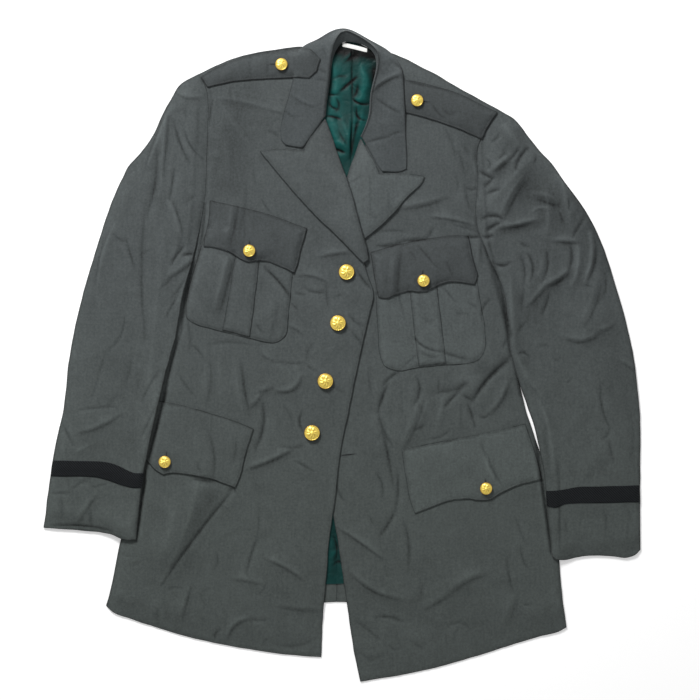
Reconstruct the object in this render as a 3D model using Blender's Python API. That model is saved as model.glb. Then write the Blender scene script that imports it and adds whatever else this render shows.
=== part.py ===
"""Military dress tunic, laid on its back on a flat surface.

The coat lies with its collar towards +Y and its wearer's right side towards -X.  Its cloth pieces are
walls that lie on each other, from the back panels on the surface up to the flaps and buttons.  Tables
are in millimetres, in the coat's own plan: x to the right, y up towards the collar.
"""

import bmesh
import bpy
import numpy as np

MM = 0.001

# Walls of the cloth, and the gaps between pieces.
WOOL = 1.6
DOUBLED_WOOL = 2.2
COLLAR_WALL = 1.8
LINING = 1.0
BRAID = 1.0
LAYER_GAP = 0.3
SEAM_HALF_GAP = 0.15

# How far a piece stands off what it lies on, and how far in from its edges that fullness is reached.
FRONT_PUFF, FRONT_TAPER = 2.6, 30.0
SLEEVE_PUFF, SLEEVE_TAPER = 3.2, 30.0
LAPEL_PUFF, LAPEL_TAPER = 1.6, 16.0
EPAULETTE_PUFF, EPAULETTE_TAPER = 1.0, 14.0
POCKET_PUFF, POCKET_TAPER = 0.6, 12.0
FLAP_PUFF, FLAP_TAPER = 0.5, 12.0

# Hidden layers stop short of the pieces over them.
BACK_INSET = 6.0
UNDER_SLEEVE_INSET = 5.0

# Buttons: diameter across the rim and height over the shank.
FRONT_BUTTON = (20.3, 7.0)
SMALL_BUTTON = (15.9, 5.6)
BUTTON_STEPS = 16
BUTTON_RIM_LIFT = 0.22  # least height of the rim over the shank's foot, as a share of the height
RIM_PLAY = 0.1
SHANK_REACH = 0.3  # the cloth within this share of the radius carries the shank
BUTTON_SECTION = [  # radius as a share, the level measured from, share of the height over that level
    (0.00, "foot", 0.0),
    (0.24, "foot", 0.0),
    (0.24, "rim", 0.0),
    (1.00, "rim", 0.0),
    (0.97, "rim", 0.36),
    (0.86, "rim", 0.36),
    (0.62, "top", -0.14),
    (0.30, "top", -0.02),
    (0.00, "top", 0.0),
]

# The square raster that keeps the heights of the pieces laid so far.
CELL = 1.5
RASTER_START = np.array([-402.0, -438.0])
RASTER_CELLS = (536, 584)
NOTHING = -1e6  # the height where no piece lies
TRIANGLE_SAMPLES = 6  # a facet too narrow to cover a cell's middle is noted at points along its sides

# How a sheet comes to rest on the raster.
SETTLE_ROUNDS = 40
SETTLE_SHARE = 0.45
SETTLED = 0.004

# Steps of the grids, and the shares at which their rims lie.
LINE_STEPS = 8
BODY_COLUMNS = 13
BODY_RIM = 0.012
HEAD_STEPS = 12
HEAD_RIM = 0.02
RIM_SPACING = 2.6
SIDE_STEPS = 17
BACK_SIDE_STEPS = 8
COLLAR_LENGTH_STEPS = 28
SMOOTH_ANGLE = 0.7  # radians

# Outlines of each side.  Each is a smooth line through its points; a point given twice is a corner.
ARMHOLE = {
    "right": [(-183, 358), (-174, 341), (-171, 319), (-172, 286), (-174, 217), (-178, 182),
              (-187, 138), (-196, 103)],
    "left": [(201, 312), (189, 294), (176, 273), (173, 249), (174, 217), (171, 191), (173, 166),
             (178, 149), (185, 132)],
}
SIDE = {
    "right": [(-196, 103), (-208, 80), (-224, 40), (-236, -20), (-247, -71), (-258, -122),
              (-270, -186), (-282, -235), (-294, -295), (-301, -321)],
    "left": [(185, 132), (200, 108), (212, 88), (219, 51), (221, 12), (225, -22), (231, -57),
             (241, -90), (251, -120), (259, -141), (268, -186), (275, -237), (281, -305), (287, -349)],
}
SHOULDER = {
    "right": [(-183, 358), (-154, 372), (-125, 382), (-82, 390), (-50, 393), (-30, 390)],
    "left": [(56, 385), (67, 384), (84, 376), (108, 364), (128, 353), (148, 341), (170, 329),
             (201, 312)],
}
OPENING = {
    "right": [(-30, 390), (-31, 350), (-33, 322), (-26, 300), (-14, 262), (0, 226), (9, 205),
              (16, 179), (24, 149), (29, 131), (30, 110), (37, 92), (40, 78), (30, 31), (20, -14),
              (10, -63), (3, -98), (-3, -129), (-10, -190), (-17, -239), (-20, -282), (-24, -323),
              (-27, -387)],
    "left": [(56, 385), (54, 364), (48, 334), (46, 307), (40, 286), (27, 262), (17, 238), (10, 215),
             (7, 179), (5, 124), (-10, 70), (-20, 6), (-26, -58), (-22, -129), (-12, -196),
             (-3, -249), (6, -313), (17, -386), (24, -418)],
}
HEM = {
    "right": [(-301, -321), (-292, -329), (-266, -339), (-207, -358), (-145, -372), (-82, -382),
              (-27, -387)],
    "left": [(24, -418), (50, -414), (108, -403), (170, -386), (243, -363), (274, -355), (287, -349)],
}

# The back's shoulder and neck line between its armhole and its centre seam, and its hem.
BACK_SEAM = [(13, 402), (12, 250), (2, 0), (-7, -316)]
BACK_TOP = {
    "right": [(-154, 366), (-125, 376), (-82, 384), (-44, 386)],
    "left": [(66, 376), (108, 358), (128, 347), (148, 335), (170, 323)],
}
BACK_HEM = {
    "right": [(-291, -312), (-182, -325), (-70, -320)],
    "left": [(60, -318), (160, -328), (279, -338)],
}
LINING_SEAM = [(13, 400), (12, 250), (2, 0), (-8, -293)]
LINING_EDGE = {
    "right": [(-48, 386), (-52, 250), (-50, 0), (-54, -295)],
    "left": [(70, 374), (70, 250), (50, 0), (38, -291)],
}

# Sleeves, from the armhole to the cuff.  A cuff line runs from the sleeve's outer edge to its inner one.
SLEEVE_OUTER = {
    "right": [(-183, 358), (-197, 352), (-209, 341), (-227, 310), (-247, 269), (-264, 251),
              (-277, 233), (-289, 205), (-297, 186), (-317, 124), (-335, 60), (-348, -4),
              (-355, -68), (-365, -111), (-372, -153), (-381, -221)],
    "left": [(201, 312), (215, 305), (230, 290), (245, 268), (266, 246), (282, 223), (312, 182),
             (333, 139), (348, 93), (362, 45), (373, -5), (377, -39), (381, -85), (381, -149),
             (381, -250)],
}
SLEEVE_INNER = {
    "right": [(-196, 103), (-200, 90), (-206, 63), (-212, 25), (-223, -15), (-231, -49),
              (-238, -79), (-250, -134), (-255, -159), (-259, -195), (-263, -236)],
    "left": [(185, 132), (193, 112), (202, 93), (208, 75), (211, 40), (213, 17), (218, -5),
             (233, -53), (246, -90), (255, -131), (259, -154), (262, -189), (267, -240), (269, -258)],
}
CUFF = {
    "right": [(-381, -221), (-367, -222), (-308, -227), (-287, -232), (-279, -236), (-263, -236)],
    "left": [(381, -250), (369, -259), (337, -257), (311, -257), (279, -263), (269, -258)],
}
CUFF_BRAID = {
    "right": dict(
        top=[(-369, -136), (-316, -137), (-293, -140), (-268, -151), (-253, -152)],
        bottom=[(-372, -155), (-316, -156), (-297, -161), (-272, -169), (-256, -170)],
        left=[(-369, -136), (-372, -155)],
        right=[(-253, -152), (-256, -170)],
    ),
    "left": dict(
        top=[(261, -175), (279, -174), (301, -170), (340, -169), (380, -168)],
        bottom=[(262, -193), (274, -195), (291, -190), (340, -189), (380, -188)],
        left=[(261, -175), (262, -193)],
        right=[(380, -168), (380, -188)],
    ),
}

# Lapels: the roll line where the front turns back, the free edge, the top edge with the gorge, and the
# narrow lower end.
LAPEL = {
    "right": dict(
        top=[(-104, 259), (-81, 261.5), (-50, 261), (-50, 261), (-21.5, 301)],
        bottom=[(28, 117), (34, 121)],
        left=[(-104, 259), (-82, 232), (-59, 205), (-31, 175), (-1, 146), (20, 124), (28, 117)],
        right=[(-21.5, 301), (-13, 278), (-8, 262), (0, 240), (11, 209), (19, 179), (27, 150),
               (32, 134), (34, 121)],
    ),
    "left": dict(
        top=[(24, 275), (49, 231), (49, 231), (83, 230), (105, 227)],
        bottom=[(4, 130), (10, 130)],
        left=[(24, 275), (17, 255), (10, 236), (5, 220), (3, 198), (2, 159), (4, 130)],
        right=[(105, 227), (103, 221), (84, 202), (67, 182), (49, 164), (28, 147), (10, 130)],
    ),
}

# Collar: the leaf's free edge, the roll line, and both ends.
COLLAR_EDGE = [(-78, 273), (-79, 291), (-74, 310), (-63, 350), (-59, 372), (-56, 389), (-48, 397),
               (-34, 401.5), (-18, 412), (0, 419), (18, 413), (33, 404), (54, 393), (67, 383),
               (78, 364), (79, 350), (81, 310), (82, 276), (84, 244), (83, 236)]
COLLAR_ROLL = [(-22, 303), (-21, 318), (-17, 350), (-14, 378), (-10, 397), (-3, 409), (3, 414),
               (16, 409), (32, 399.5), (46, 386), (46, 366), (38, 334), (36, 307), (29, 287),
               (24.5, 278)]
COLLAR_END_RIGHT = [(-78, 273), (-74, 267), (-50, 262.4), (-50, 262.4), (-22, 303)]
COLLAR_END_LEFT = [(83, 236), (79, 232.4), (49.6, 232.4), (49.6, 232.4), (24.5, 278)]
COLLAR_LEAF_SHARES = (0.0, 0.1, 0.36, 0.62, 0.84, 0.96, 1.0)
COLLAR_END_REACH = 0.3  # the share of its length over which the shape of an end fades
COLLAR_ROUNDNESS = 0.8  # how soon the leaf climbs to its roll
COLLAR_FORM = [  # share of length, roll height, then the stand's seam: x and y from the roll, height
    (0.00, 8.0, 1.5, -1.0, 6.5),
    (0.27, 12.0, 2.5, -1.0, 6.0),
    (0.34, 14.0, 5.0, -6.0, 6.2),
    (0.39, 16.0, 4.0, -11.0, 6.2),
    (0.42, 16.0, 3.0, -15.5, 6.2),
    (0.47, 16.0, -2.0, -10.5, 6.2),
    (0.53, 15.0, -4.0, -5.0, 6.2),
    (0.60, 14.0, -5.0, -2.5, 6.2),
    (0.67, 13.0, -2.5, 0.0, 6.0),
    (1.00, 8.0, -1.5, -0.5, 6.5),
]
COLLAR_STAND_ROWS = [(0.12, 0.12), (0.45, 0.5), (1.0, 1.0)]  # share across to the seam, share down

# Pieces that lie on the fronts.
BREAST_POCKET = {
    "right": dict(
        top=[(-172, 160), (-118, 160), (-56, 150)],
        bottom=[(-198, 47), (-190, 40), (-173, 35), (-152, 29), (-118, 21), (-93, 15), (-80, 17),
                (-72, 25)],
        left=[(-172, 160), (-188, 111), (-197, 77), (-199, 62), (-198, 47)],
        right=[(-56, 150), (-63, 103), (-67, 63), (-70, 35), (-72, 25)],
    ),
    "left": dict(
        top=[(43, 118), (100, 130), (164, 134)],
        bottom=[(48, 4), (53, -12), (66, -21), (96, -17), (134, -13), (168, -10), (179, 1), (183, 10)],
        left=[(43, 118), (44, 72), (46, 36), (48, 4)],
        right=[(164, 134), (173, 90), (178, 60), (182, 36), (183, 10)],
    ),
}
POCKET_PLEAT = {
    "right": dict(
        top=[(-132, 150), (-103, 144)],
        bottom=[(-152, 31), (-118, 23)],
        left=[(-132, 150), (-143, 81), (-152, 31)],
        right=[(-103, 144), (-111, 74), (-118, 23)],
    ),
    "left": dict(
        top=[(84, 110), (118, 112)],
        bottom=[(99, -15), (133, -11)],
        left=[(84, 110), (93, 28), (99, -15)],
        right=[(118, 112), (127, 36), (133, -11)],
    ),
}
BREAST_FLAP = {
    "right": dict(
        top=[(-168, 196), (-140, 190), (-96, 179), (-45, 161)],
        bottom=[(-176, 138), (-162, 137), (-145, 132), (-132, 124), (-121, 118), (-105, 120),
                (-91, 118), (-74, 111), (-61, 104)],
        left=[(-168, 196), (-170, 171), (-175, 148), (-176, 138)],
        right=[(-45, 161), (-51, 139), (-57, 115), (-61, 104)],
    ),
    "left": dict(
        top=[(37, 130), (60, 137), (96, 145), (136, 151), (161, 151)],
        bottom=[(47, 73), (53, 71), (71, 77), (86, 81), (104, 80), (122, 88), (138, 93), (154, 92),
                (169, 90)],
        left=[(37, 130), (42, 97), (47, 73)],
        right=[(161, 151), (166, 126), (173, 99), (169, 90)],
    ),
}
HIP_FLAP = {
    "right": dict(
        top=[(-240, -58), (-187, -70), (-145, -83), (-113, -95)],
        bottom=[(-252, -133), (-242, -143), (-230, -153), (-216, -151), (-196, -153), (-166, -159),
                (-136, -170)],
        left=[(-240, -58), (-252, -133)],
        right=[(-113, -95), (-122, -121), (-128, -149), (-136, -170)],
    ),
    "left": dict(
        top=[(77, -122), (120, -113), (186, -100), (234, -89)],
        bottom=[(93, -202), (113, -195), (137, -186), (157, -184), (186, -186), (204, -176),
                (227, -166), (255, -159)],
        left=[(77, -122), (81, -150), (87, -184), (93, -202)],
        right=[(234, -89), (246, -124), (255, -159)],
    ),
}
EPAULETTE = {
    "right": dict(
        top=[(-180, 355), (-154, 369), (-125, 380), (-82, 389), (-45, 391), (-31, 380)],
        bottom=[(-172, 342), (-129, 350), (-64, 354), (-37, 355), (-29, 374)],
        left=[(-180, 355), (-172, 342)],
        right=[(-31, 380), (-28, 377), (-29, 374)],
    ),
    "left": dict(
        top=[(70, 352), (100, 347), (148, 333), (198, 309)],
        bottom=[(70, 312), (106, 303), (145, 290), (178, 276)],
        left=[(70, 352), (68, 332), (70, 312)],
        right=[(198, 309), (188, 295), (178, 276)],
    ),
}
NECK_TAPE = dict(top=[(1, 398.5), (32, 391)], bottom=[(1, 394), (32, 387)],
                 left=[(1, 398.5), (1, 394)], right=[(32, 391), (32, 387)])

# Columns and rows of the grids of the smaller pieces.
LAPEL_CELLS = (6, 14)
POCKET_CELLS = (8, 8)
PLEAT_CELLS = (2, 8)
BREAST_FLAP_CELLS = (12, 5)
HIP_FLAP_CELLS = (12, 4)
EPAULETTE_CELLS = {"right": (12, 4), "left": (10, 4)}
BRAID_CELLS = (10, 2)
TAPE_CELLS = (5, 1)
BACK_COLUMNS = 5
LINING_CELLS = (3, 10)
UNDER_SLEEVE_CELLS = (7, 14)
TOP_SLEEVE_ROWS = 25

BUTTONS = [  # name, x, y, size, carried by
    ("front_button_1", 6, 105, FRONT_BUTTON, ("front_right", "lapel_right")),
    ("front_button_2", -5, 40, FRONT_BUTTON, ("front_right",)),
    ("front_button_3", -21, -34, FRONT_BUTTON, ("front_right",)),
    ("front_button_4", -38, -100, FRONT_BUTTON, ("front_right",)),
    ("breast_button_right", -118, 132, SMALL_BUTTON, ("breast_flap_right",)),
    ("breast_button_left", 104, 94, SMALL_BUTTON, ("breast_flap_left",)),
    ("hip_button_right", -226, -137, SMALL_BUTTON, ("hip_flap_right",)),
    ("hip_button_left", 184, -171, SMALL_BUTTON, ("hip_flap_left",)),
    ("epaulette_button_right", -77, 370, SMALL_BUTTON, ("epaulette_right",)),
    ("epaulette_button_left", 96, 324, SMALL_BUTTON, ("epaulette_left", "collar")),
]

# The largest folds: start, end, half width and height of a soft ridge.
FOLD = np.dtype([("x0", float), ("y0", float), ("x1", float), ("y1", float), ("width", float),
                 ("height", float)])
FOLD_END_SHARE = 0.35  # how much of its height a ridge still has at its ends
FRONT_FOLDS = {
    "right": np.array([
        (-187, -158, -227, -269, 20, 5.0),
        (-140, 190, -163, 54, 24, 2.0),
        (-60, 60, 10, 20, 30, 2.2),
        (-70, -20, 5, -60, 28, 2.0),
        (-95, -260, -30, -300, 26, 2.4),
        (-100, 110, -63, 72, 20, 2.0),
        (-150, 330, -60, 300, 30, 2.0),
    ], FOLD),
    "left": np.array([
        (208, 3, 158, -52, 16, 6.0),
        (152, -35, 129, -62, 12, 3.0),
        (69, -113, 91, -42, 16, 3.2),
        (2, -221, 63, -258, 16, 3.0),
        (13, -276, 78, -308, 16, 2.8),
        (187, -265, 98, -320, 20, 3.5),
        (117, 176, 152, 169, 16, 2.2),
        (74, 187, 106, 184, 16, 2.0),
        (175, 60, 190, 80, 16, 2.5),
    ], FOLD),
}
SLEEVE_FOLDS = {
    "right": np.array([
        (-229, 306, -246, 252, 16, 4.0),
        (-212, 280, -180, 250, 16, 3.0),
        (-216, 222, -206, 160, 16, 3.4),
        (-300, 164, -314, 92, 20, 2.6),
        (-220, 120, -195, 138, 14, 3.0),
        (-334, -100, -296, -84, 18, 3.0),
        (-262, -95, -240, -70, 16, 3.0),
        (-343, -208, -320, -180, 16, 2.6),
    ], FOLD),
    "left": np.array([
        (212, 258, 181, 230, 14, 4.5),
        (234, 265, 215, 236, 14, 3.0),
        (196, 169, 250, 177, 14, 3.0),
        (228, 234, 197, 174, 16, 3.0),
        (286, 113, 236, 75, 18, 3.5),
        (345, 46, 285, 26, 18, 3.2),
        (356, -6, 374, -18, 14, 2.5),
        (300, -120, 350, -140, 20, 2.0),
    ], FOLD),
}

# Colours (0 to 255), roughness and metallic value of the materials.
GREEN_WOOL = ((76, 82, 82), 0.85, 0.0)
POCKET_WOOL = ((84, 91, 92), 0.85, 0.0)
SATIN = ((36, 74, 74), 0.35, 0.0)
BLACK_BRAID = ((31, 33, 35), 0.85, 0.0)
COTTON_TAPE = ((226, 226, 220), 0.85, 0.0)
GILT = ((206, 170, 74), 0.3, 1.0)

laid = {}


def smooth_line(points, shares):
    """A Catmull-Rom line through the points, read at shares (0 to 1) of its length."""
    p = np.array(points, float)
    around = np.vstack([2 * p[0] - p[1], p, 2 * p[-1] - p[-2]])
    t = np.linspace(0.0, 1.0, LINE_STEPS + 1)[:-1, None]
    runs = []
    for a, b, c, d in zip(around[:-3], around[1:-2], around[2:-1], around[3:]):
        square = (2 * a - 5 * b + 4 * c - d) * t**2
        runs.append(0.5 * (2 * b + (c - a) * t + square + (3 * b - a - 3 * c + d) * t**3))
    fine = np.vstack(runs + [p[-1:]])
    length = np.concatenate([[0.0], np.cumsum(np.linalg.norm(np.diff(fine, axis=0), axis=1))])
    wanted = np.asarray(shares) * length[-1]
    return np.column_stack([np.interp(wanted, length, fine[:, axis]) for axis in (0, 1)])


def even_shares(steps):
    """Even shares from 0 to 1."""
    return np.linspace(0.0, 1.0, steps + 1)


def shares_with_rims(steps, rim):
    """Shares from 0 to 1 for that many steps, the first and last ones narrow."""
    inner = np.linspace(RIM_SPACING * rim, 1 - RIM_SPACING * rim, steps - 3)
    return np.concatenate([[0.0, rim], inner, [1 - rim, 1.0]])


def length_shares(line):
    """The share of its length at which each point of a line lies."""
    length = np.concatenate([[0.0], np.cumsum(np.linalg.norm(np.diff(line, axis=0), axis=1))])
    return length / length[-1]


def patch(top, bottom, left, right, u, v):
    """The Coons patch inside four edges: rows go from top to bottom, columns from left to right."""
    u = u[None, :, None]
    v = v[:, None, None]
    across = (1 - v) * top[None] + v * bottom[None]
    down = (1 - u) * left[:, None] + u * right[:, None]
    corners = ((1 - u) * (1 - v) * top[0] + u * (1 - v) * top[-1]
               + (1 - u) * v * bottom[0] + u * v * bottom[-1])
    return across + down - corners


def outlined(edges, cells):
    """A patch of so many columns and rows from a table of four edge lines."""
    u, v = (even_shares(count) for count in cells)
    return patch(smooth_line(edges["top"], u), smooth_line(edges["bottom"], u),
                 smooth_line(edges["left"], v), smooth_line(edges["right"], v), u, v)


def left_to_right(side, outer, inner):
    """Puts a side's outer and inner edges in order across the coat."""
    return (outer, inner) if side == "right" else (inner, outer)


def shifted(line, dx, dy=0.0):
    """A table of points moved sideways."""
    return [(x + dx, y + dy) for x, y in line]


def border(grid):
    """The points round the edge of a grid, in order."""
    return np.vstack([grid[0, :-1], grid[:-1, -1], grid[-1, :0:-1], grid[:0:-1, 0]])


def edge_distance(points, ring):
    """How far each point lies from a closed line."""
    start = ring[None]
    along = np.roll(ring, -1, axis=0)[None] - start
    offset = points[:, None] - start
    share = (offset * along).sum(2) / np.maximum((along**2).sum(2), 1e-9)
    foot = offset - np.clip(share, 0, 1)[..., None] * along
    return np.sqrt((foot**2).sum(2)).min(1)


def stepped(start, towards, distance):
    """Points moved by a distance towards other points."""
    step = towards - start
    return start + step / np.linalg.norm(step, axis=1)[:, None] * distance


def drawn_in(grid, distance):
    """Moves the border of a grid inwards, towards the next points inside."""
    moved = grid.copy()
    moved[0] += stepped(grid[0], grid[1], distance) - grid[0]
    moved[-1] += stepped(grid[-1], grid[-2], distance) - grid[-1]
    moved[:, 0] += stepped(grid[:, 0], grid[:, 1], distance) - grid[:, 0]
    moved[:, -1] += stepped(grid[:, -1], grid[:, -2], distance) - grid[:, -1]
    return moved


def folds_at(points, folds):
    """The height that a table of soft ridges gives at each point."""
    height = np.zeros(len(points))
    for fold in folds:
        start = np.array([fold["x0"], fold["y0"]])
        along = np.array([fold["x1"], fold["y1"]]) - start
        share = np.clip((points - start) @ along / (along @ along), 0, 1)
        away = np.linalg.norm(points - start - share[:, None] * along, axis=1) / fold["width"]
        ridge = np.cos(np.clip(away, 0, 1) * np.pi / 2) ** 2
        swell = FOLD_END_SHARE + (1 - FOLD_END_SHARE) * np.sin(share * np.pi)
        height += fold["height"] * ridge * swell
    return height


def raster_index(points):
    """The raster cell that each point lies in."""
    index = np.floor((points - RASTER_START) / CELL).astype(int)
    return index[:, 0], index[:, 1]


def cells_under(points, triangles):
    """The raster cells that each triangle covers, with its corners' weights at their middles."""
    found = []
    for number, corners in enumerate(triangles):
        a, b, c = points[corners]
        low = np.floor((np.minimum(np.minimum(a, b), c) - RASTER_START) / CELL).astype(int)
        high = np.floor((np.maximum(np.maximum(a, b), c) - RASTER_START) / CELL).astype(int)
        i, j = np.mgrid[low[0]:high[0] + 1, low[1]:high[1] + 1]
        x = (i + 0.5) * CELL + RASTER_START[0] - a[0]
        y = (j + 0.5) * CELL + RASTER_START[1] - a[1]
        ab, ac = b - a, c - a
        area = ab[0] * ac[1] - ab[1] * ac[0]
        if abs(area) < 1e-6:
            continue
        to_b = (x * ac[1] - y * ac[0]) / area
        to_c = (ab[0] * y - ab[1] * x) / area
        inside = (to_b >= 0) & (to_c >= 0) & (to_b + to_c <= 1)
        if inside.any():
            weights = np.column_stack([1 - to_b[inside] - to_c[inside], to_b[inside], to_c[inside]])
            numbers = np.full(len(weights), number)
            found.append((i[inside], j[inside], numbers, weights))
    return [np.concatenate(column) for column in zip(*found)]


def keep_height(name, points, heights, triangles):
    """Notes a piece's upper surface, spread by one cell, for the pieces that come to lie on it."""
    field = np.full(RASTER_CELLS, NOTHING)
    i, j, number, weights = cells_under(points, triangles)
    np.maximum.at(field, (i, j), (weights * heights[triangles[number]]).sum(1))
    for a in range(TRIANGLE_SAMPLES + 1):
        for b in range(TRIANGLE_SAMPLES + 1 - a):
            share = np.array([a, b, TRIANGLE_SAMPLES - a - b]) / TRIANGLE_SAMPLES
            at = (points[triangles] * share[None, :, None]).sum(1)
            np.maximum.at(field, raster_index(at), heights[triangles] @ share)
    spread = field.copy()
    for di in (-1, 0, 1):
        for dj in (-1, 0, 1):
            spread = np.maximum(spread, np.roll(field, (di, dj), (0, 1)))
    laid[name] = spread


def ground_under(names, below=None):
    """The heights of the named pieces over the surface; those named in below count only under that y."""
    ground = np.full(RASTER_CELLS, -LAYER_GAP)
    for name in names:
        field = laid[name]
        if below and name in below:
            field = field.copy()
            field[:, int((below[name] - RASTER_START[1]) / CELL):] = NOTHING
        ground = np.maximum(ground, field)
    return ground


def settle(points, heights, triangles, ground):
    """Raises a sheet's points until each facet clears the ground by the layer gap."""
    i, j, number, weights = cells_under(points, triangles)
    needed = ground[i, j] + LAYER_GAP
    heights = np.maximum(heights, ground[raster_index(points)] + LAYER_GAP)
    for _ in range(SETTLE_ROUNDS):
        short = needed - (weights * heights[triangles[number]]).sum(1)
        worst = np.zeros(len(triangles))
        np.maximum.at(worst, number, short)
        if worst.max() < SETTLED:
            break
        lift = np.zeros(len(heights))
        for corner in range(3):
            np.maximum.at(lift, triangles[:, corner], worst)
        heights = heights + SETTLE_SHARE * lift
    return heights


def evened(heights, shape):
    """Softens a grid of heights once, in both directions."""
    z = heights.reshape(shape)
    padded = np.pad(z, 1, mode="edge")
    beside = padded[:-2, 1:-1] + padded[2:, 1:-1] + padded[1:-1, :-2] + padded[1:-1, 2:]
    return (z / 2 + beside / 8).reshape(-1)


def finished_material(name, finish):
    """A Principled material from a finish: its colour (0 to 255), roughness and metallic value."""
    colour, roughness, metallic = finish
    linear = [((c / 255 + 0.055) / 1.055) ** 2.4 for c in colour]
    material = bpy.data.materials.new(name)
    material.use_nodes = True
    shader = material.node_tree.nodes["Principled BSDF"]
    shader.inputs["Base Color"].default_value = (*linear, 1.0)
    shader.inputs["Roughness"].default_value = roughness
    shader.inputs["Metallic"].default_value = metallic
    return material


def add_piece(name, bm, finish):
    """Makes a named object, in metres, from a bmesh in millimetres."""
    bmesh.ops.scale(bm, vec=(MM, MM, MM), verts=bm.verts[:])
    if all(edge.is_manifold for edge in bm.edges):
        bmesh.ops.recalc_face_normals(bm, faces=bm.faces[:])
    mesh = bpy.data.meshes.new(name)
    bm.to_mesh(mesh)
    bm.free()
    mesh.shade_smooth()
    mesh.set_sharp_from_angle(angle=SMOOTH_ANGLE)
    mesh.materials.append(finished_material(name, finish))
    piece = bpy.data.objects.new(name, mesh)
    bpy.context.scene.collection.objects.link(piece)
    return piece


def grid_of_triangles(grid):
    """A triangulated bmesh grid, the points for its vertices, and its triangles' corner numbers."""
    rows, columns = grid.shape[:2]
    bm = bmesh.new()
    bmesh.ops.create_grid(bm, x_segments=columns - 1, y_segments=rows - 1, size=1.0)
    bmesh.ops.triangulate(bm, faces=bm.faces[:], quad_method="FIXED")
    bm.verts.index_update()
    triangles = np.array([[corner.index for corner in face.verts] for face in bm.faces])
    return bm, grid.reshape(-1, grid.shape[2]), triangles


def lay(name, grid, wall, on, finish=GREEN_WOOL, puff=0.0, taper=FRONT_TAPER, folds=(), below=None):
    """Lays one sheet of cloth on the pieces under it and gives it its wall."""
    bm, points, triangles = grid_of_triangles(grid)
    ground = ground_under(on, below)
    heights = evened(ground[raster_index(points)] + LAYER_GAP, grid.shape[:2])
    inside = np.clip(edge_distance(points, border(grid)) / taper, 0, 1)
    heights = heights + np.sin(inside * np.pi / 2) * (puff + folds_at(points, folds))
    heights = settle(points, heights, triangles, ground)
    for vertex, (x, y), z in zip(bm.verts, points, heights):
        vertex.co = (x, y, z)
    upper = bmesh.ops.extrude_face_region(bm, geom=bm.faces[:], use_keep_orig=True)["geom"]
    raised = [item for item in upper if isinstance(item, bmesh.types.BMVert)]
    bmesh.ops.translate(bm, vec=(0, 0, wall), verts=raised)
    keep_height(name, points, heights + wall, triangles)
    add_piece(name, bm, finish)


def add_back(side):
    """A back panel, flat on the surface, drawn in from the front's edges."""
    inward = 1 if side == "right" else -1
    armhole = smooth_line(ARMHOLE[side], shares_with_rims(HEAD_STEPS, HEAD_RIM))
    armhole[:, 0] += inward * SEAM_HALF_GAP
    armhole[0] += (inward * BACK_INSET, -BACK_INSET)
    flank = smooth_line(SIDE[side], even_shares(BACK_SIDE_STEPS))[1:]
    flank[:, 0] += inward * BACK_INSET
    outer = np.vstack([armhole, flank])
    outer[-1] = BACK_HEM[side][0] if side == "right" else BACK_HEM[side][-1]
    v = length_shares(outer)
    u = even_shares(BACK_COLUMNS)
    seam = smooth_line(shifted(BACK_SEAM, -inward * SEAM_HALF_GAP), v)
    if side == "right":
        top = [outer[0]] + BACK_TOP[side] + [seam[0]]
        hem = BACK_HEM[side] + [seam[-1]]
    else:
        top = [seam[0]] + BACK_TOP[side] + [outer[0]]
        hem = [seam[-1]] + BACK_HEM[side]
    left, right = left_to_right(side, outer, seam)
    lay(f"back_{side}", patch(smooth_line(top, u), smooth_line(hem, u), left, right, u, v), WOOL, ())


def add_lining(side):
    """Half of the satin back lining, where the neck and the fronts' open edges show it."""
    inward = 1 if side == "right" else -1
    u, v = (even_shares(count) for count in LINING_CELLS)
    seam = smooth_line(shifted(LINING_SEAM, -inward * SEAM_HALF_GAP), v)
    left, right = left_to_right(side, smooth_line(LINING_EDGE[side], v), seam)
    top = smooth_line([left[0], right[0]], u)
    bottom = smooth_line([left[-1], right[-1]], u)
    grid = patch(top, bottom, left, right, u, v)
    lay(f"lining_{side}", grid, LINING, ("back_right", "back_left"), SATIN)


def add_front(side, on):
    """A front panel, with the armhole's own points down its outer edge."""
    inward = 1 if side == "right" else -1
    armhole = shifted(ARMHOLE[side], inward * SEAM_HALF_GAP)
    outer = np.vstack([smooth_line(armhole, shares_with_rims(HEAD_STEPS, HEAD_RIM)),
                       smooth_line(SIDE[side], even_shares(SIDE_STEPS))[1:]])
    v = length_shares(outer)
    u = shares_with_rims(BODY_COLUMNS, BODY_RIM)
    left, right = left_to_right(side, outer, smooth_line(OPENING[side], v))
    grid = patch(smooth_line(SHOULDER[side], u), smooth_line(HEM[side], u), left, right, u, v)
    lay(f"front_{side}", grid, WOOL, on, puff=FRONT_PUFF, folds=FRONT_FOLDS[side])


def add_lapel(side, on):
    """A lapel, turned back on its front."""
    grid = outlined(LAPEL[side], LAPEL_CELLS)
    lay(f"lapel_{side}", grid, DOUBLED_WOOL, on, puff=LAPEL_PUFF, taper=LAPEL_TAPER)


def add_breast_pocket(side):
    """A breast pocket with its box pleat, and the flap over both."""
    on = [f"front_{side}", f"breast_pocket_{side}", f"pleat_{side}"]
    lay(on[1], outlined(BREAST_POCKET[side], POCKET_CELLS), WOOL, on[:1], POCKET_WOOL,
        POCKET_PUFF, POCKET_TAPER)
    lay(on[2], outlined(POCKET_PLEAT[side], PLEAT_CELLS), WOOL, on[:2], POCKET_WOOL)
    lay(f"breast_flap_{side}", outlined(BREAST_FLAP[side], BREAST_FLAP_CELLS), DOUBLED_WOOL, on,
        POCKET_WOOL, FLAP_PUFF, FLAP_TAPER)


def add_hip_flap(side):
    """The flap of a hip pocket, whose bag is inside the front."""
    lay(f"hip_flap_{side}", outlined(HIP_FLAP[side], HIP_FLAP_CELLS), DOUBLED_WOOL,
        (f"front_{side}",), puff=FLAP_PUFF, taper=FLAP_TAPER)


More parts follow.
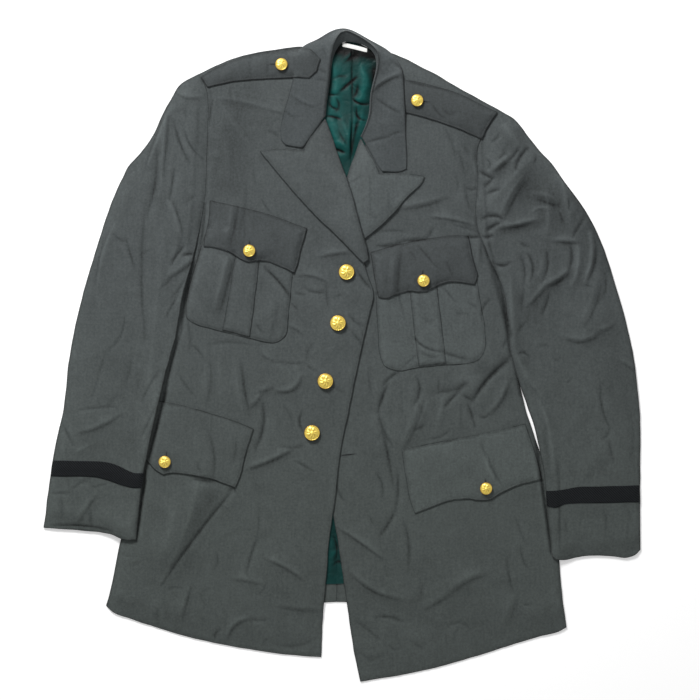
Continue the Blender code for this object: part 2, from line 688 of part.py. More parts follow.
def add_epaulette(side, on):
    """A shoulder strap, sewn in at the armhole and buttoned near the collar."""
    lay(f"epaulette_{side}", outlined(EPAULETTE[side], EPAULETTE_CELLS[side]), DOUBLED_WOOL, on,
        puff=EPAULETTE_PUFF, taper=EPAULETTE_TAPER)


def add_collar(on):
    """The collar: a leaf that lies on the shoulders, the roll, and the stand inside the neck."""
    v = even_shares(COLLAR_LENGTH_STEPS)
    u = np.array(COLLAR_LEAF_SHARES)
    edge, roll = smooth_line(COLLAR_EDGE, v), smooth_line(COLLAR_ROLL, v)
    plan = edge[:, None] + u[None, :, None] * (roll - edge)[:, None]
    for end, from_end in ((COLLAR_END_RIGHT, v), (COLLAR_END_LEFT, 1 - v)):
        line = smooth_line(end, u)
        bow = line - line[0] - u[:, None] * (line[-1] - line[0])
        plan += np.clip(1 - from_end / COLLAR_END_REACH, 0, 1)[:, None, None] ** 2 * bow[None]
    form = np.array(COLLAR_FORM)
    crest, stand_x, stand_y, seam = (np.interp(v, form[:, 0], form[:, k]) for k in (1, 2, 3, 4))
    bm, points, triangles = grid_of_triangles(plan)
    bm.free()
    ground = ground_under(on)
    under = evened(ground[raster_index(points)] + LAYER_GAP + COLLAR_WALL, plan.shape[:2])
    under = under.reshape(plan.shape[:2])
    climb = 1 - np.cos(u * np.pi / 2) ** COLLAR_ROUNDNESS
    heights = (under + climb[None] * np.maximum(crest[:, None] - under, 0)).reshape(-1)
    heights = settle(points, heights - COLLAR_WALL, triangles, ground) + COLLAR_WALL
    keep_height("collar", points, heights, triangles)

    leaf = np.dstack([plan, heights.reshape(plan.shape[:2])])
    x, y, z = leaf[:, -1].T
    rows = [leaf]
    for across, down in COLLAR_STAND_ROWS:
        row = np.column_stack([x + stand_x * across, y + stand_y * across, z + (seam - z) * down])
        rows.append(row[:, None])
    bm, points, _ = grid_of_triangles(np.concatenate(rows, axis=1))
    for vertex, at in zip(bm.verts, points):
        vertex.co = at
    bm.normal_update()
    if sum(face.normal.z for face in bm.faces) < 0:
        bmesh.ops.reverse_faces(bm, faces=bm.faces[:])
    collar = add_piece("collar", bm, GREEN_WOOL)
    wall = collar.modifiers.new("Wall", "SOLIDIFY")
    wall.thickness = COLLAR_WALL * MM
    wall.offset = -1.0


def add_neck_tape(on):
    """A blank tape inside the neck, under the collar's seam."""
    lay("label", outlined(NECK_TAPE, TAPE_CELLS), LINING, on, COTTON_TAPE)


def add_sleeve(side):
    """A sleeve: the under sleeve on the surface and the body's side, and the top sleeve over it."""
    outward = -1 if side == "right" else 1
    on = (f"front_{side}", f"hip_flap_{side}")
    below = {f"front_{side}": ARMHOLE[side][-1][1] + CELL}
    head = shifted(ARMHOLE[side], outward * SEAM_HALF_GAP)

    def plan(u, v):
        return patch(smooth_line(head, u), smooth_line(CUFF[side], u),
                     smooth_line(SLEEVE_OUTER[side], v), smooth_line(SLEEVE_INNER[side], v), u, v)

    u, v = (even_shares(count) for count in UNDER_SLEEVE_CELLS)
    lay(f"sleeve_{side}_under", drawn_in(plan(u, v), UNDER_SLEEVE_INSET), WOOL, on, below=below)
    u, v = shares_with_rims(HEAD_STEPS, HEAD_RIM), even_shares(TOP_SLEEVE_ROWS)
    lay(f"sleeve_{side}_top", plan(u, v), WOOL, on + (f"sleeve_{side}_under",), puff=SLEEVE_PUFF,
        taper=SLEEVE_TAPER, folds=SLEEVE_FOLDS[side], below=below)


def add_cuff_braid(side):
    """The flat braid round the cuff, on the sleeve's upper side."""
    lay(f"braid_{side}", outlined(CUFF_BRAID[side], BRAID_CELLS), BRAID, (f"sleeve_{side}_top",),
        BLACK_BRAID)


def add_button(name, x, y, size, carried_by):
    """A domed button with a flat rim on a shank, turned about its own axis."""
    diameter, height = size
    radius = diameter / 2
    ground = ground_under(carried_by)
    i, j = np.mgrid[0:RASTER_CELLS[0], 0:RASTER_CELLS[1]]
    away = np.hypot((i + 0.5) * CELL + RASTER_START[0] - x, (j + 0.5) * CELL + RASTER_START[1] - y)
    foot = ground[away < SHANK_REACH * radius].max() + LAYER_GAP
    level = {
        "foot": foot,
        "rim": max(ground[away < radius].max() + LAYER_GAP, foot + BUTTON_RIM_LIFT * height) + RIM_PLAY,
        "top": foot + height,
    }
    bm = bmesh.new()
    line = [bm.verts.new((share * radius, 0.0, level[start] + over * height))
            for share, start, over in BUTTON_SECTION]
    edges = [bm.edges.new(pair) for pair in zip(line, line[1:])]
    bmesh.ops.spin(bm, geom=line + edges, cent=(0, 0, 0), axis=(0, 0, 1), angle=2 * np.pi,
                   steps=BUTTON_STEPS, use_merge=True)
    bmesh.ops.remove_doubles(bm, verts=bm.verts[:], dist=0.001)
    bmesh.ops.translate(bm, vec=(x, y, 0), verts=bm.verts[:])
    add_piece(name, bm, GILT)


def centre_on_box():
    """Moves every piece so that the coat's box stands centred over the origin, on the surface."""
    pieces = [piece for piece in bpy.context.scene.objects if piece.type == "MESH"]
    points = np.array([vertex.co for piece in pieces for vertex in piece.data.vertices])
    low, high = points.min(0), points.max(0)
    shift = np.array([-(low[0] + high[0]) / 2, -(low[1] + high[1]) / 2, -low[2]])
    for piece in pieces:
        for vertex in piece.data.vertices:
            vertex.co = np.array(vertex.co) + shift


def main():
    """Lays the pieces from the surface up: each comes to rest on those named for it."""
    for old in list(bpy.data.objects):
        bpy.data.objects.remove(old, do_unlink=True)
    for side in ("right", "left"):
        add_back(side)
    for side in ("right", "left"):
        add_lining(side)
    inside = ("back_right", "back_left", "lining_right", "lining_left")
    add_front("left", inside)
    add_lapel("left", inside + ("front_left",))
    add_front("right", inside + ("front_left", "lapel_left"))
    add_lapel("right", inside + ("front_left", "lapel_left", "front_right"))
    for side in ("right", "left"):
        add_breast_pocket(side)
        add_hip_flap(side)
    add_epaulette("left", ("front_left",))
    add_collar(inside + ("front_right", "front_left", "epaulette_left"))
    add_epaulette("right", ("front_right", "collar"))
    add_neck_tape(("lining_right", "lining_left"))
    for side in ("right", "left"):
        add_sleeve(side)
        add_cuff_braid(side)
    for row in BUTTONS:
        add_button(*row)
    centre_on_box()


main()
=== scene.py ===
"""Dresses a military dress tunic that lies on its back: cloth, creases, stitching, buttons, and a stage.

The coat's tables are in millimetres in its own plan: x to the right, y up towards the collar.  The
wearer's right side lies towards -X.
"""

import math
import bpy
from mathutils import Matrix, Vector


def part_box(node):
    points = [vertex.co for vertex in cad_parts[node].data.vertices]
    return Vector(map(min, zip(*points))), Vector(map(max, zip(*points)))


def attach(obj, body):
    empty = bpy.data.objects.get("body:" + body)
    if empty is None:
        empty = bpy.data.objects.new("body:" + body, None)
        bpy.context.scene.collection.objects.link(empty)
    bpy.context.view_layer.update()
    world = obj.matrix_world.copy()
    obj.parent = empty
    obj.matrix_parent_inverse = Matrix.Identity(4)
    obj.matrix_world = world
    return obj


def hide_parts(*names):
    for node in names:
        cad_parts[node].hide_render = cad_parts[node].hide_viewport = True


bl_info = {
    "name": "Dress tunic",
    "version": (1, 0, 0),
    "blender": (4, 5, 0),
    "location": "3D View > Sidebar > Tunic",
    "description": "Makes a military dress tunic that lies flat, piece by piece, and its stage",
    "category": "Object",
}

import bmesh
import bpy
import numpy as np
from bpy.props import FloatProperty, FloatVectorProperty, IntProperty, PointerProperty
from mathutils import Matrix, Vector, kdtree, noise
from mathutils.bvhtree import BVHTree
from mathutils.geometry import barycentric_transform

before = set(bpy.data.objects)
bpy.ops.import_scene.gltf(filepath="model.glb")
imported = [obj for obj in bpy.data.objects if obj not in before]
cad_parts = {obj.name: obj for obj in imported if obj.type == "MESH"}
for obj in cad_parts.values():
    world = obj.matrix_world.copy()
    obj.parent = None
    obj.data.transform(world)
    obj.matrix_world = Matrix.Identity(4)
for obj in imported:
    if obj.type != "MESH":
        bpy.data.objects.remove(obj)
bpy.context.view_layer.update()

MM = 0.001
SIDES = ("right", "left")
DOWN = Vector((0, 0, -1))
ABOVE = 100.0  # a height over the whole coat

# Outlines and meshes of the cloth.
MERGE_NEAR = 0.001
SKIN_SLOPE = 0.05  # faces that look up by less than this belong to a wall
TURN_BACK = 150.0  # an outline that turns back by more than this many degrees is a stray point
OUTLINE_STEP = 2.0
FINE_STEP = 0.5
RING_LEAST = 0.6  # points of an outline that lie closer than this are thinned
CORNER = 35.0  # an outline that turns by more degrees than this keeps its corner
SEAM_CLOSE = 0.6
WAVER = 0.5
WAVER_LENGTH = 16.0
WAVER_SEED = 3  # the vector noise takes its offsets from the seed
RIMS = (0.7, 0.9, 0.8, 0.9)
CUT_NEAR = 1e-4
CUT_SNAP = 0.3
UNDER_RIM = 3.0
UNDER_REACH = 4.0  # the under skin keeps below every fold within this
UNDER_SHARE = 0.6  # of the wall
EDGE_REACH = 24.0  # distances from the edge are kept up to this

# How the cloth comes to rest.
NOTHING_UNDER = -1e6
EVEN_REACH = 9.0
REST_ROUNDS = 12
REST_GAP = 0.12
HUG = 7.0
HUG_SHARE = 0.95
# Low unevenness of cloth that has been worn and folded: wave length and height; it ends at the edge.
SWELLS = ((70.0, 0.6), (26.0, 0.3), (13.0, 0.16), (7.0, 0.07))
SWELL_EDGE = 6.0
SEEDS = 97
HOLLOW_ROUNDS = 24
HOLLOW_DEPTH = 0.7

# Sewn edges: the rolled rim, the press of the iron, the pucker of the seam and the row of stitches.
RIM_DROP = 0.45
RIM_ROUND = 0.6
PRESS_REACH = 3.0
PUCKER = 0.35
PUCKER_LENGTH = 5.0
PUCKER_REACH = 4.0
PUCKER_LEVEL = 7.0
STITCH_INSET = 2.4
STITCH_PRESS = 0.3
STITCH_WIDTH = 0.7

trees = {}
rings = {}

COLOUR = {"size": 3, "subtype": "COLOR", "min": 0, "max": 1}


class TunicSettings(bpy.types.PropertyGroup):
    """Sizes and colours of the tunic."""

    cell: FloatProperty(name="Cell", description="Side of the mesh cells of cloth that shows",
                        default=0.0017, min=0.001, unit="LENGTH")
    hidden_cell: FloatProperty(name="Hidden cell", description="Side of the mesh cells underneath",
                               default=0.006, min=0.002, unit="LENGTH")
    wool_wall: FloatProperty(name="Wool", description="Thickness of one layer of wool",
                             default=0.0012, min=0.0005, unit="LENGTH")
    doubled_wall: FloatProperty(name="Doubled wool", description="Thickness of faced wool",
                                default=0.0018, min=0.0005, unit="LENGTH")
    lining_wall: FloatProperty(name="Lining", description="Thickness of the lining", default=0.001,
                               min=0.0005, unit="LENGTH")
    stitch_length: FloatProperty(name="Stitch", description="Length of one stitch with its gap",
                                 default=0.0028, min=0.001, unit="LENGTH")
    button_steps: IntProperty(name="Button steps", description="Steps round a button", default=64,
                              min=16)
    wool: FloatVectorProperty(name="Wool colour", description="Colour of the grey green wool",
                              default=(0.0705, 0.0805, 0.0815), **COLOUR)
    # The pocket, flap and collar wools are lighter and darker copies of the wool: painted light and shade
    # for how each piece faces the light, with some tone of its cut.
    pocket_wool: FloatVectorProperty(name="Pocket colour", description="Colour of the pockets' wool",
                                     default=(0.0805, 0.0925, 0.0935), **COLOUR)
    flap_wool: FloatVectorProperty(name="Flap colour", description="Colour of the flaps' wool",
                                   default=(0.0545, 0.0620, 0.0635), **COLOUR)
    collar_wool: FloatVectorProperty(name="Collar colour", description="Colour of the collar's wool",
                                     default=(0.0630, 0.0725, 0.0750), **COLOUR)
    thread: FloatVectorProperty(name="Thread colour", description="Colour of the sewing thread",
                                default=(0.040, 0.046, 0.046), **COLOUR)
    satin: FloatVectorProperty(name="Lining colour", description="Colour of the satin lining",
                               default=(0.0038, 0.055, 0.0505), **COLOUR)
    braid: FloatVectorProperty(name="Braid colour", description="Colour of the cuffs' braid",
                               default=(0.0095, 0.0108, 0.012), **COLOUR)
    gilt: FloatVectorProperty(name="Button colour", description="Colour of the gilt buttons",
                              default=(1.0, 0.74, 0.145), **COLOUR)
    tape: FloatVectorProperty(name="Tape colour", description="Colour of the neck tape",
                              default=(0.93, 0.93, 0.90), **COLOUR)


class StageSettings(bpy.types.PropertyGroup):
    """The floor, the light and the camera."""

    floor: FloatVectorProperty(name="Floor", description="Colour of the floor",
                               default=(0.88, 0.88, 0.88), **COLOUR)
    floor_glow: FloatProperty(name="Floor glow", description="Light that the pale floor gives back",
                              default=0.3, min=0)
    key_power: FloatProperty(name="Key light", description="Power of the soft light by the collar",
                             default=71.0, min=0, unit="POWER")
    fill_power: FloatProperty(name="Fill light", description="Power of the overhead fill",
                              default=8.0, min=0, unit="POWER")
    camera_height: FloatProperty(name="Camera height", description="Height over the floor",
                                 default=3.0, min=0.5, unit="LENGTH")
    view_width: FloatProperty(name="View width", description="Width that the camera sees",
                              default=0.896, min=0.1, unit="LENGTH")


# ---------------------------------------------------------------- outlines and skins

def node_mesh(name):
    """A merged copy of a node's mesh, in millimetres."""
    bm = bmesh.new()
    bm.from_mesh(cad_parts[name].data)
    bmesh.ops.scale(bm, vec=(1 / MM, 1 / MM, 1 / MM), verts=bm.verts[:])
    bmesh.ops.remove_doubles(bm, verts=bm.verts[:], dist=MERGE_NEAR)
    return bm


def upper_skin(name):
    """A merged copy of a cloth node's upper skin, in millimetres."""
    bm = node_mesh(name)
    bm.normal_update()
    walls = [face for face in bm.faces if face.normal.z < SKIN_SLOPE]
    bmesh.ops.delete(bm, geom=walls, context="FACES")
    return bm


def bell(off):
    """A smooth share that is 1 in the middle and falls off to both sides."""
    return np.exp(-(off ** 2))


def unit(ways):
    """Plan directions at length 1, and their own lengths."""
    lengths = np.linalg.norm(ways, axis=1)
    return ways / lengths[:, None], lengths


def ahead_of(ring):
    """The next point of each point of a ring."""
    return np.roll(ring, -1, axis=0)


def outline_of(name):
    """The longest open edge of a cloth node's upper skin, as plan points in order."""
    bm = upper_skin(name)
    loops = {edge.link_loops[0]: None for edge in bm.edges if edge.is_boundary}
    found = []
    while loops:
        loop = next(iter(loops))
        ring = []
        while loop in loops:
            del loops[loop]
            ring.append(loop.vert)
            loop = loop.link_loop_next
            while not loop.edge.is_boundary:
                loop = loop.link_loop_radial_next.link_loop_next
        found.append(ring)
    ring = np.array([vertex.co.xy for vertex in max(found, key=len)])
    bm.free()
    while True:
        ring = ring[(np.roll(ring, 1, axis=0) != ring).any(axis=1)]
        ahead = unit(ahead_of(ring) - ring)[0]
        back = (ahead * np.roll(ahead, 1, axis=0)).sum(1)
        if back.min() > math.cos(math.radians(TURN_BACK)):
            return ring
        ring = np.delete(ring, back.argmin(), axis=0)


def smooth_ring(ring, step, corner):
    """Points at even steps on a smooth closed line through a ring, which keeps the sharper corners."""
    following = ahead_of(ring)
    ahead, chord = unit(following - ring)
    behind = np.roll(ahead, 1, axis=0)
    before = np.roll(chord, 1)
    turn = np.arccos(np.clip((ahead * behind).sum(1), -1, 1))
    tangent = (ahead * before[:, None] + behind * chord[:, None]) / (chord + before)[:, None]
    sharp = (turn > math.radians(corner))[:, None]
    leave = np.where(sharp, ahead, tangent) * chord[:, None]
    arrive = ahead_of(np.where(sharp, behind, tangent)) * chord[:, None]
    line = []
    for k in range(len(ring)):
        count = max(1, round(chord[k] / step))
        t = (np.arange(count) / count)[:, None]
        line.append((2 * t**3 - 3 * t**2 + 1) * ring[k] + (t**3 - 2 * t**2 + t) * leave[k]
                    + (3 * t**2 - 2 * t**3) * following[k] + (t**3 - t**2) * arrive[k])
    line = np.vstack(line)
    kept = [line[0]]
    for point in line[1:]:
        if min(np.linalg.norm(point - kept[-1]), np.linalg.norm(point - line[0])) > RING_LEAST:
            kept.append(point)
    return np.array(kept)


def twice_area(ring):
    """Twice the area inside a ring, below zero where it runs clockwise."""
    ahead = ahead_of(ring)
    return (ring[:, 0] * ahead[:, 1] - ahead[:, 0] * ring[:, 1]).sum()


def inset_line(ring, inset):
    """The line that runs inside an outline, point by point, and its way at each point."""
    way = unit(ahead_of(ring) - np.roll(ring, 1, axis=0))[0]
    turn = np.sign(twice_area(ring))
    return ring + inset * turn * np.column_stack([-way[:, 1], way[:, 0]]), way


def wavered(ring):
    """The ring a little larger, with the small waver of a sewn edge; edges that meet waver together."""
    noise.seed_set(WAVER_SEED)
    ring = inset_line(ring, -SEAM_CLOSE)[0]
    return ring + WAVER * np.array([noise.noise_vector(Vector((x, y, 0)) / WAVER_LENGTH).xy
                                    for x, y in ring])


def near_tree(plan):
    """A search tree over plan points, which answers with their numbers."""
    tree = kdtree.KDTree(len(plan))
    for number, (x, y) in enumerate(plan):
        tree.insert((x, y, 0), number)
    tree.balance()
    return tree


def nearest(tree, vertex):
    """The number of the plan point nearest a vertex."""
    return tree.find((vertex.co.x, vertex.co.y, 0))[1]


def parted(faces):
    """The faces with their edges and corners, as a bisecting cut takes them."""
    edges = dict.fromkeys(edge for face in faces for edge in face.edges)
    verts = dict.fromkeys(vert for face in faces for vert in face.verts)
    return list(faces) + list(edges) + list(verts)


def plan_mesh(ring, rims, cell):
    """A flat mesh inside an outline: narrow rims that follow it, then square cells."""
    bm = bmesh.new()
    inner = bm.faces.new([bm.verts.new((x, y, 0)) for x, y in ring])
    for width in rims:
        bmesh.ops.inset_region(bm, faces=[inner], thickness=width, use_boundary=True,
                               use_even_offset=False)
    low, high = ring.min(0), ring.max(0)
    strips = [inner]
    for axis, normal in enumerate(((1, 0, 0), (0, 1, 0))):
        rest, done = strips, []
        for at in np.arange(low[axis] + cell, high[axis], cell):
            cut = bmesh.ops.bisect_plane(bm, geom=parted(rest), dist=CUT_NEAR, plane_no=normal,
                                         plane_co=(at, at, 0))
            faces = [item for item in cut["geom"] if isinstance(item, bmesh.types.BMFace)]
            rest = [face for face in faces if face.calc_center_median()[axis] > at]
            done += [face for face in faces if face.calc_center_median()[axis] <= at]
        strips = done + rest
    within = [vertex for vertex in bm.verts if not vertex.is_boundary]
    bmesh.ops.remove_doubles(bm, verts=within, dist=CUT_SNAP)
    return bm


def rim_of(bm, ring):
    """The open vertices of a plan mesh, each in the place of its outline point."""
    tree = near_tree(ring)
    rim = [None] * len(ring)
    for vertex in bm.verts:
        if vertex.is_boundary:
            rim[nearest(tree, vertex)] = vertex
    return rim


def plan_of(verts):
    """The plan points of vertices."""
    return np.array([vertex.co.xy for vertex in verts])


def heights_of(bm):
    """The heights of a mesh's vertices."""
    return np.array([vertex.co.z for vertex in bm.verts])


def set_heights(bm, heights):
    """Gives a mesh's vertices their heights."""
    for vertex, z in zip(bm.verts, heights):
        vertex.co.z = z


def even_heights(bm, rounds):
    """Softens the heights of a mesh."""
    for _ in range(rounds):
        bmesh.ops.smooth_vert(bm, verts=bm.verts[:], factor=0.5, use_axis_x=False, use_axis_y=False,
                              use_axis_z=True)


def rest_heights(name, plan):
    """The height of a cloth node's upper skin at each plan point, also a little past its edge."""
    bm = upper_skin(name)
    bmesh.ops.triangulate(bm, faces=bm.faces[:])
    bm.verts.index_update()
    true = [vertex.co.copy() for vertex in bm.verts]
    flat = [Vector((at.x, at.y, 0)) for at in true]
    corners = [[vertex.index for vertex in face.verts] for face in bm.faces]
    bm.free()
    tree = BVHTree.FromPolygons(flat, corners)
    heights = []
    for x, y in plan:
        place, _, number, _ = tree.find_nearest(Vector((x, y, 0)))
        a, b, c = corners[number]
        heights.append(barycentric_transform(place, flat[a], flat[b], flat[c],
                                             true[a], true[b], true[c]).z)
    return np.array(heights)


def edge_distances(plan, ring):
    """How far each plan point lies from the outline, up to the reach that is kept."""
    tree = near_tree(smooth_ring(ring, FINE_STEP, 0))
    return np.minimum([tree.find((x, y, 0))[2] for x, y in plan], EDGE_REACH)


def swell_heights(plan, seed, share):
    """The low unevenness of cloth after long use, at each plan point."""
    heights = np.zeros(len(plan))
    for length, height in SWELLS:
        heights += height * share * np.array(
            [noise.noise(Vector((x / length, y / length, seed))) for x, y in plan])
    return heights


def carried_heights(plan, on):
    """The top of the pieces named under each plan point."""
    tops = np.full(len(plan), NOTHING_UNDER)
    for name in on:
        for number, (x, y) in enumerate(plan):
            place = trees[name].ray_cast(Vector((x, y, ABOVE)), DOWN)[0]
            if place is not None:
                tops[number] = max(tops[number], place.z)
    return tops


# ---------------------------------------------------------------- creases

FOLD_REACH = 6.0  # widths beyond which a crease ends
FOLD_GAIN = 1.55
FOLD_POWER = 1.25
FOLD_ENDS = 0.3  # share of the height at a crease's ends
FOLD_ROUND = 0.7
FOLD_FADE = 0.8  # widths over which a crease fades past its ends
FOLD_EDGE = 3.0  # a crease has its full height from this far inside the edge
FOLD_EDGE_LEAST = 0.3
PUFF = 0.22
PUFF_WIDTH = 2.8
# Painted shade along the creases: full from this fold height, over this half width and its spread.
CREASE_SHADE_DEPTH = 1.5
CREASE_SHADE_WIDTH = 1.2
CREASE_SHADE_SPREAD = 0.12
CREASE_FOOT = 1.3  # steep widths from a ridge to the dark line at its foot

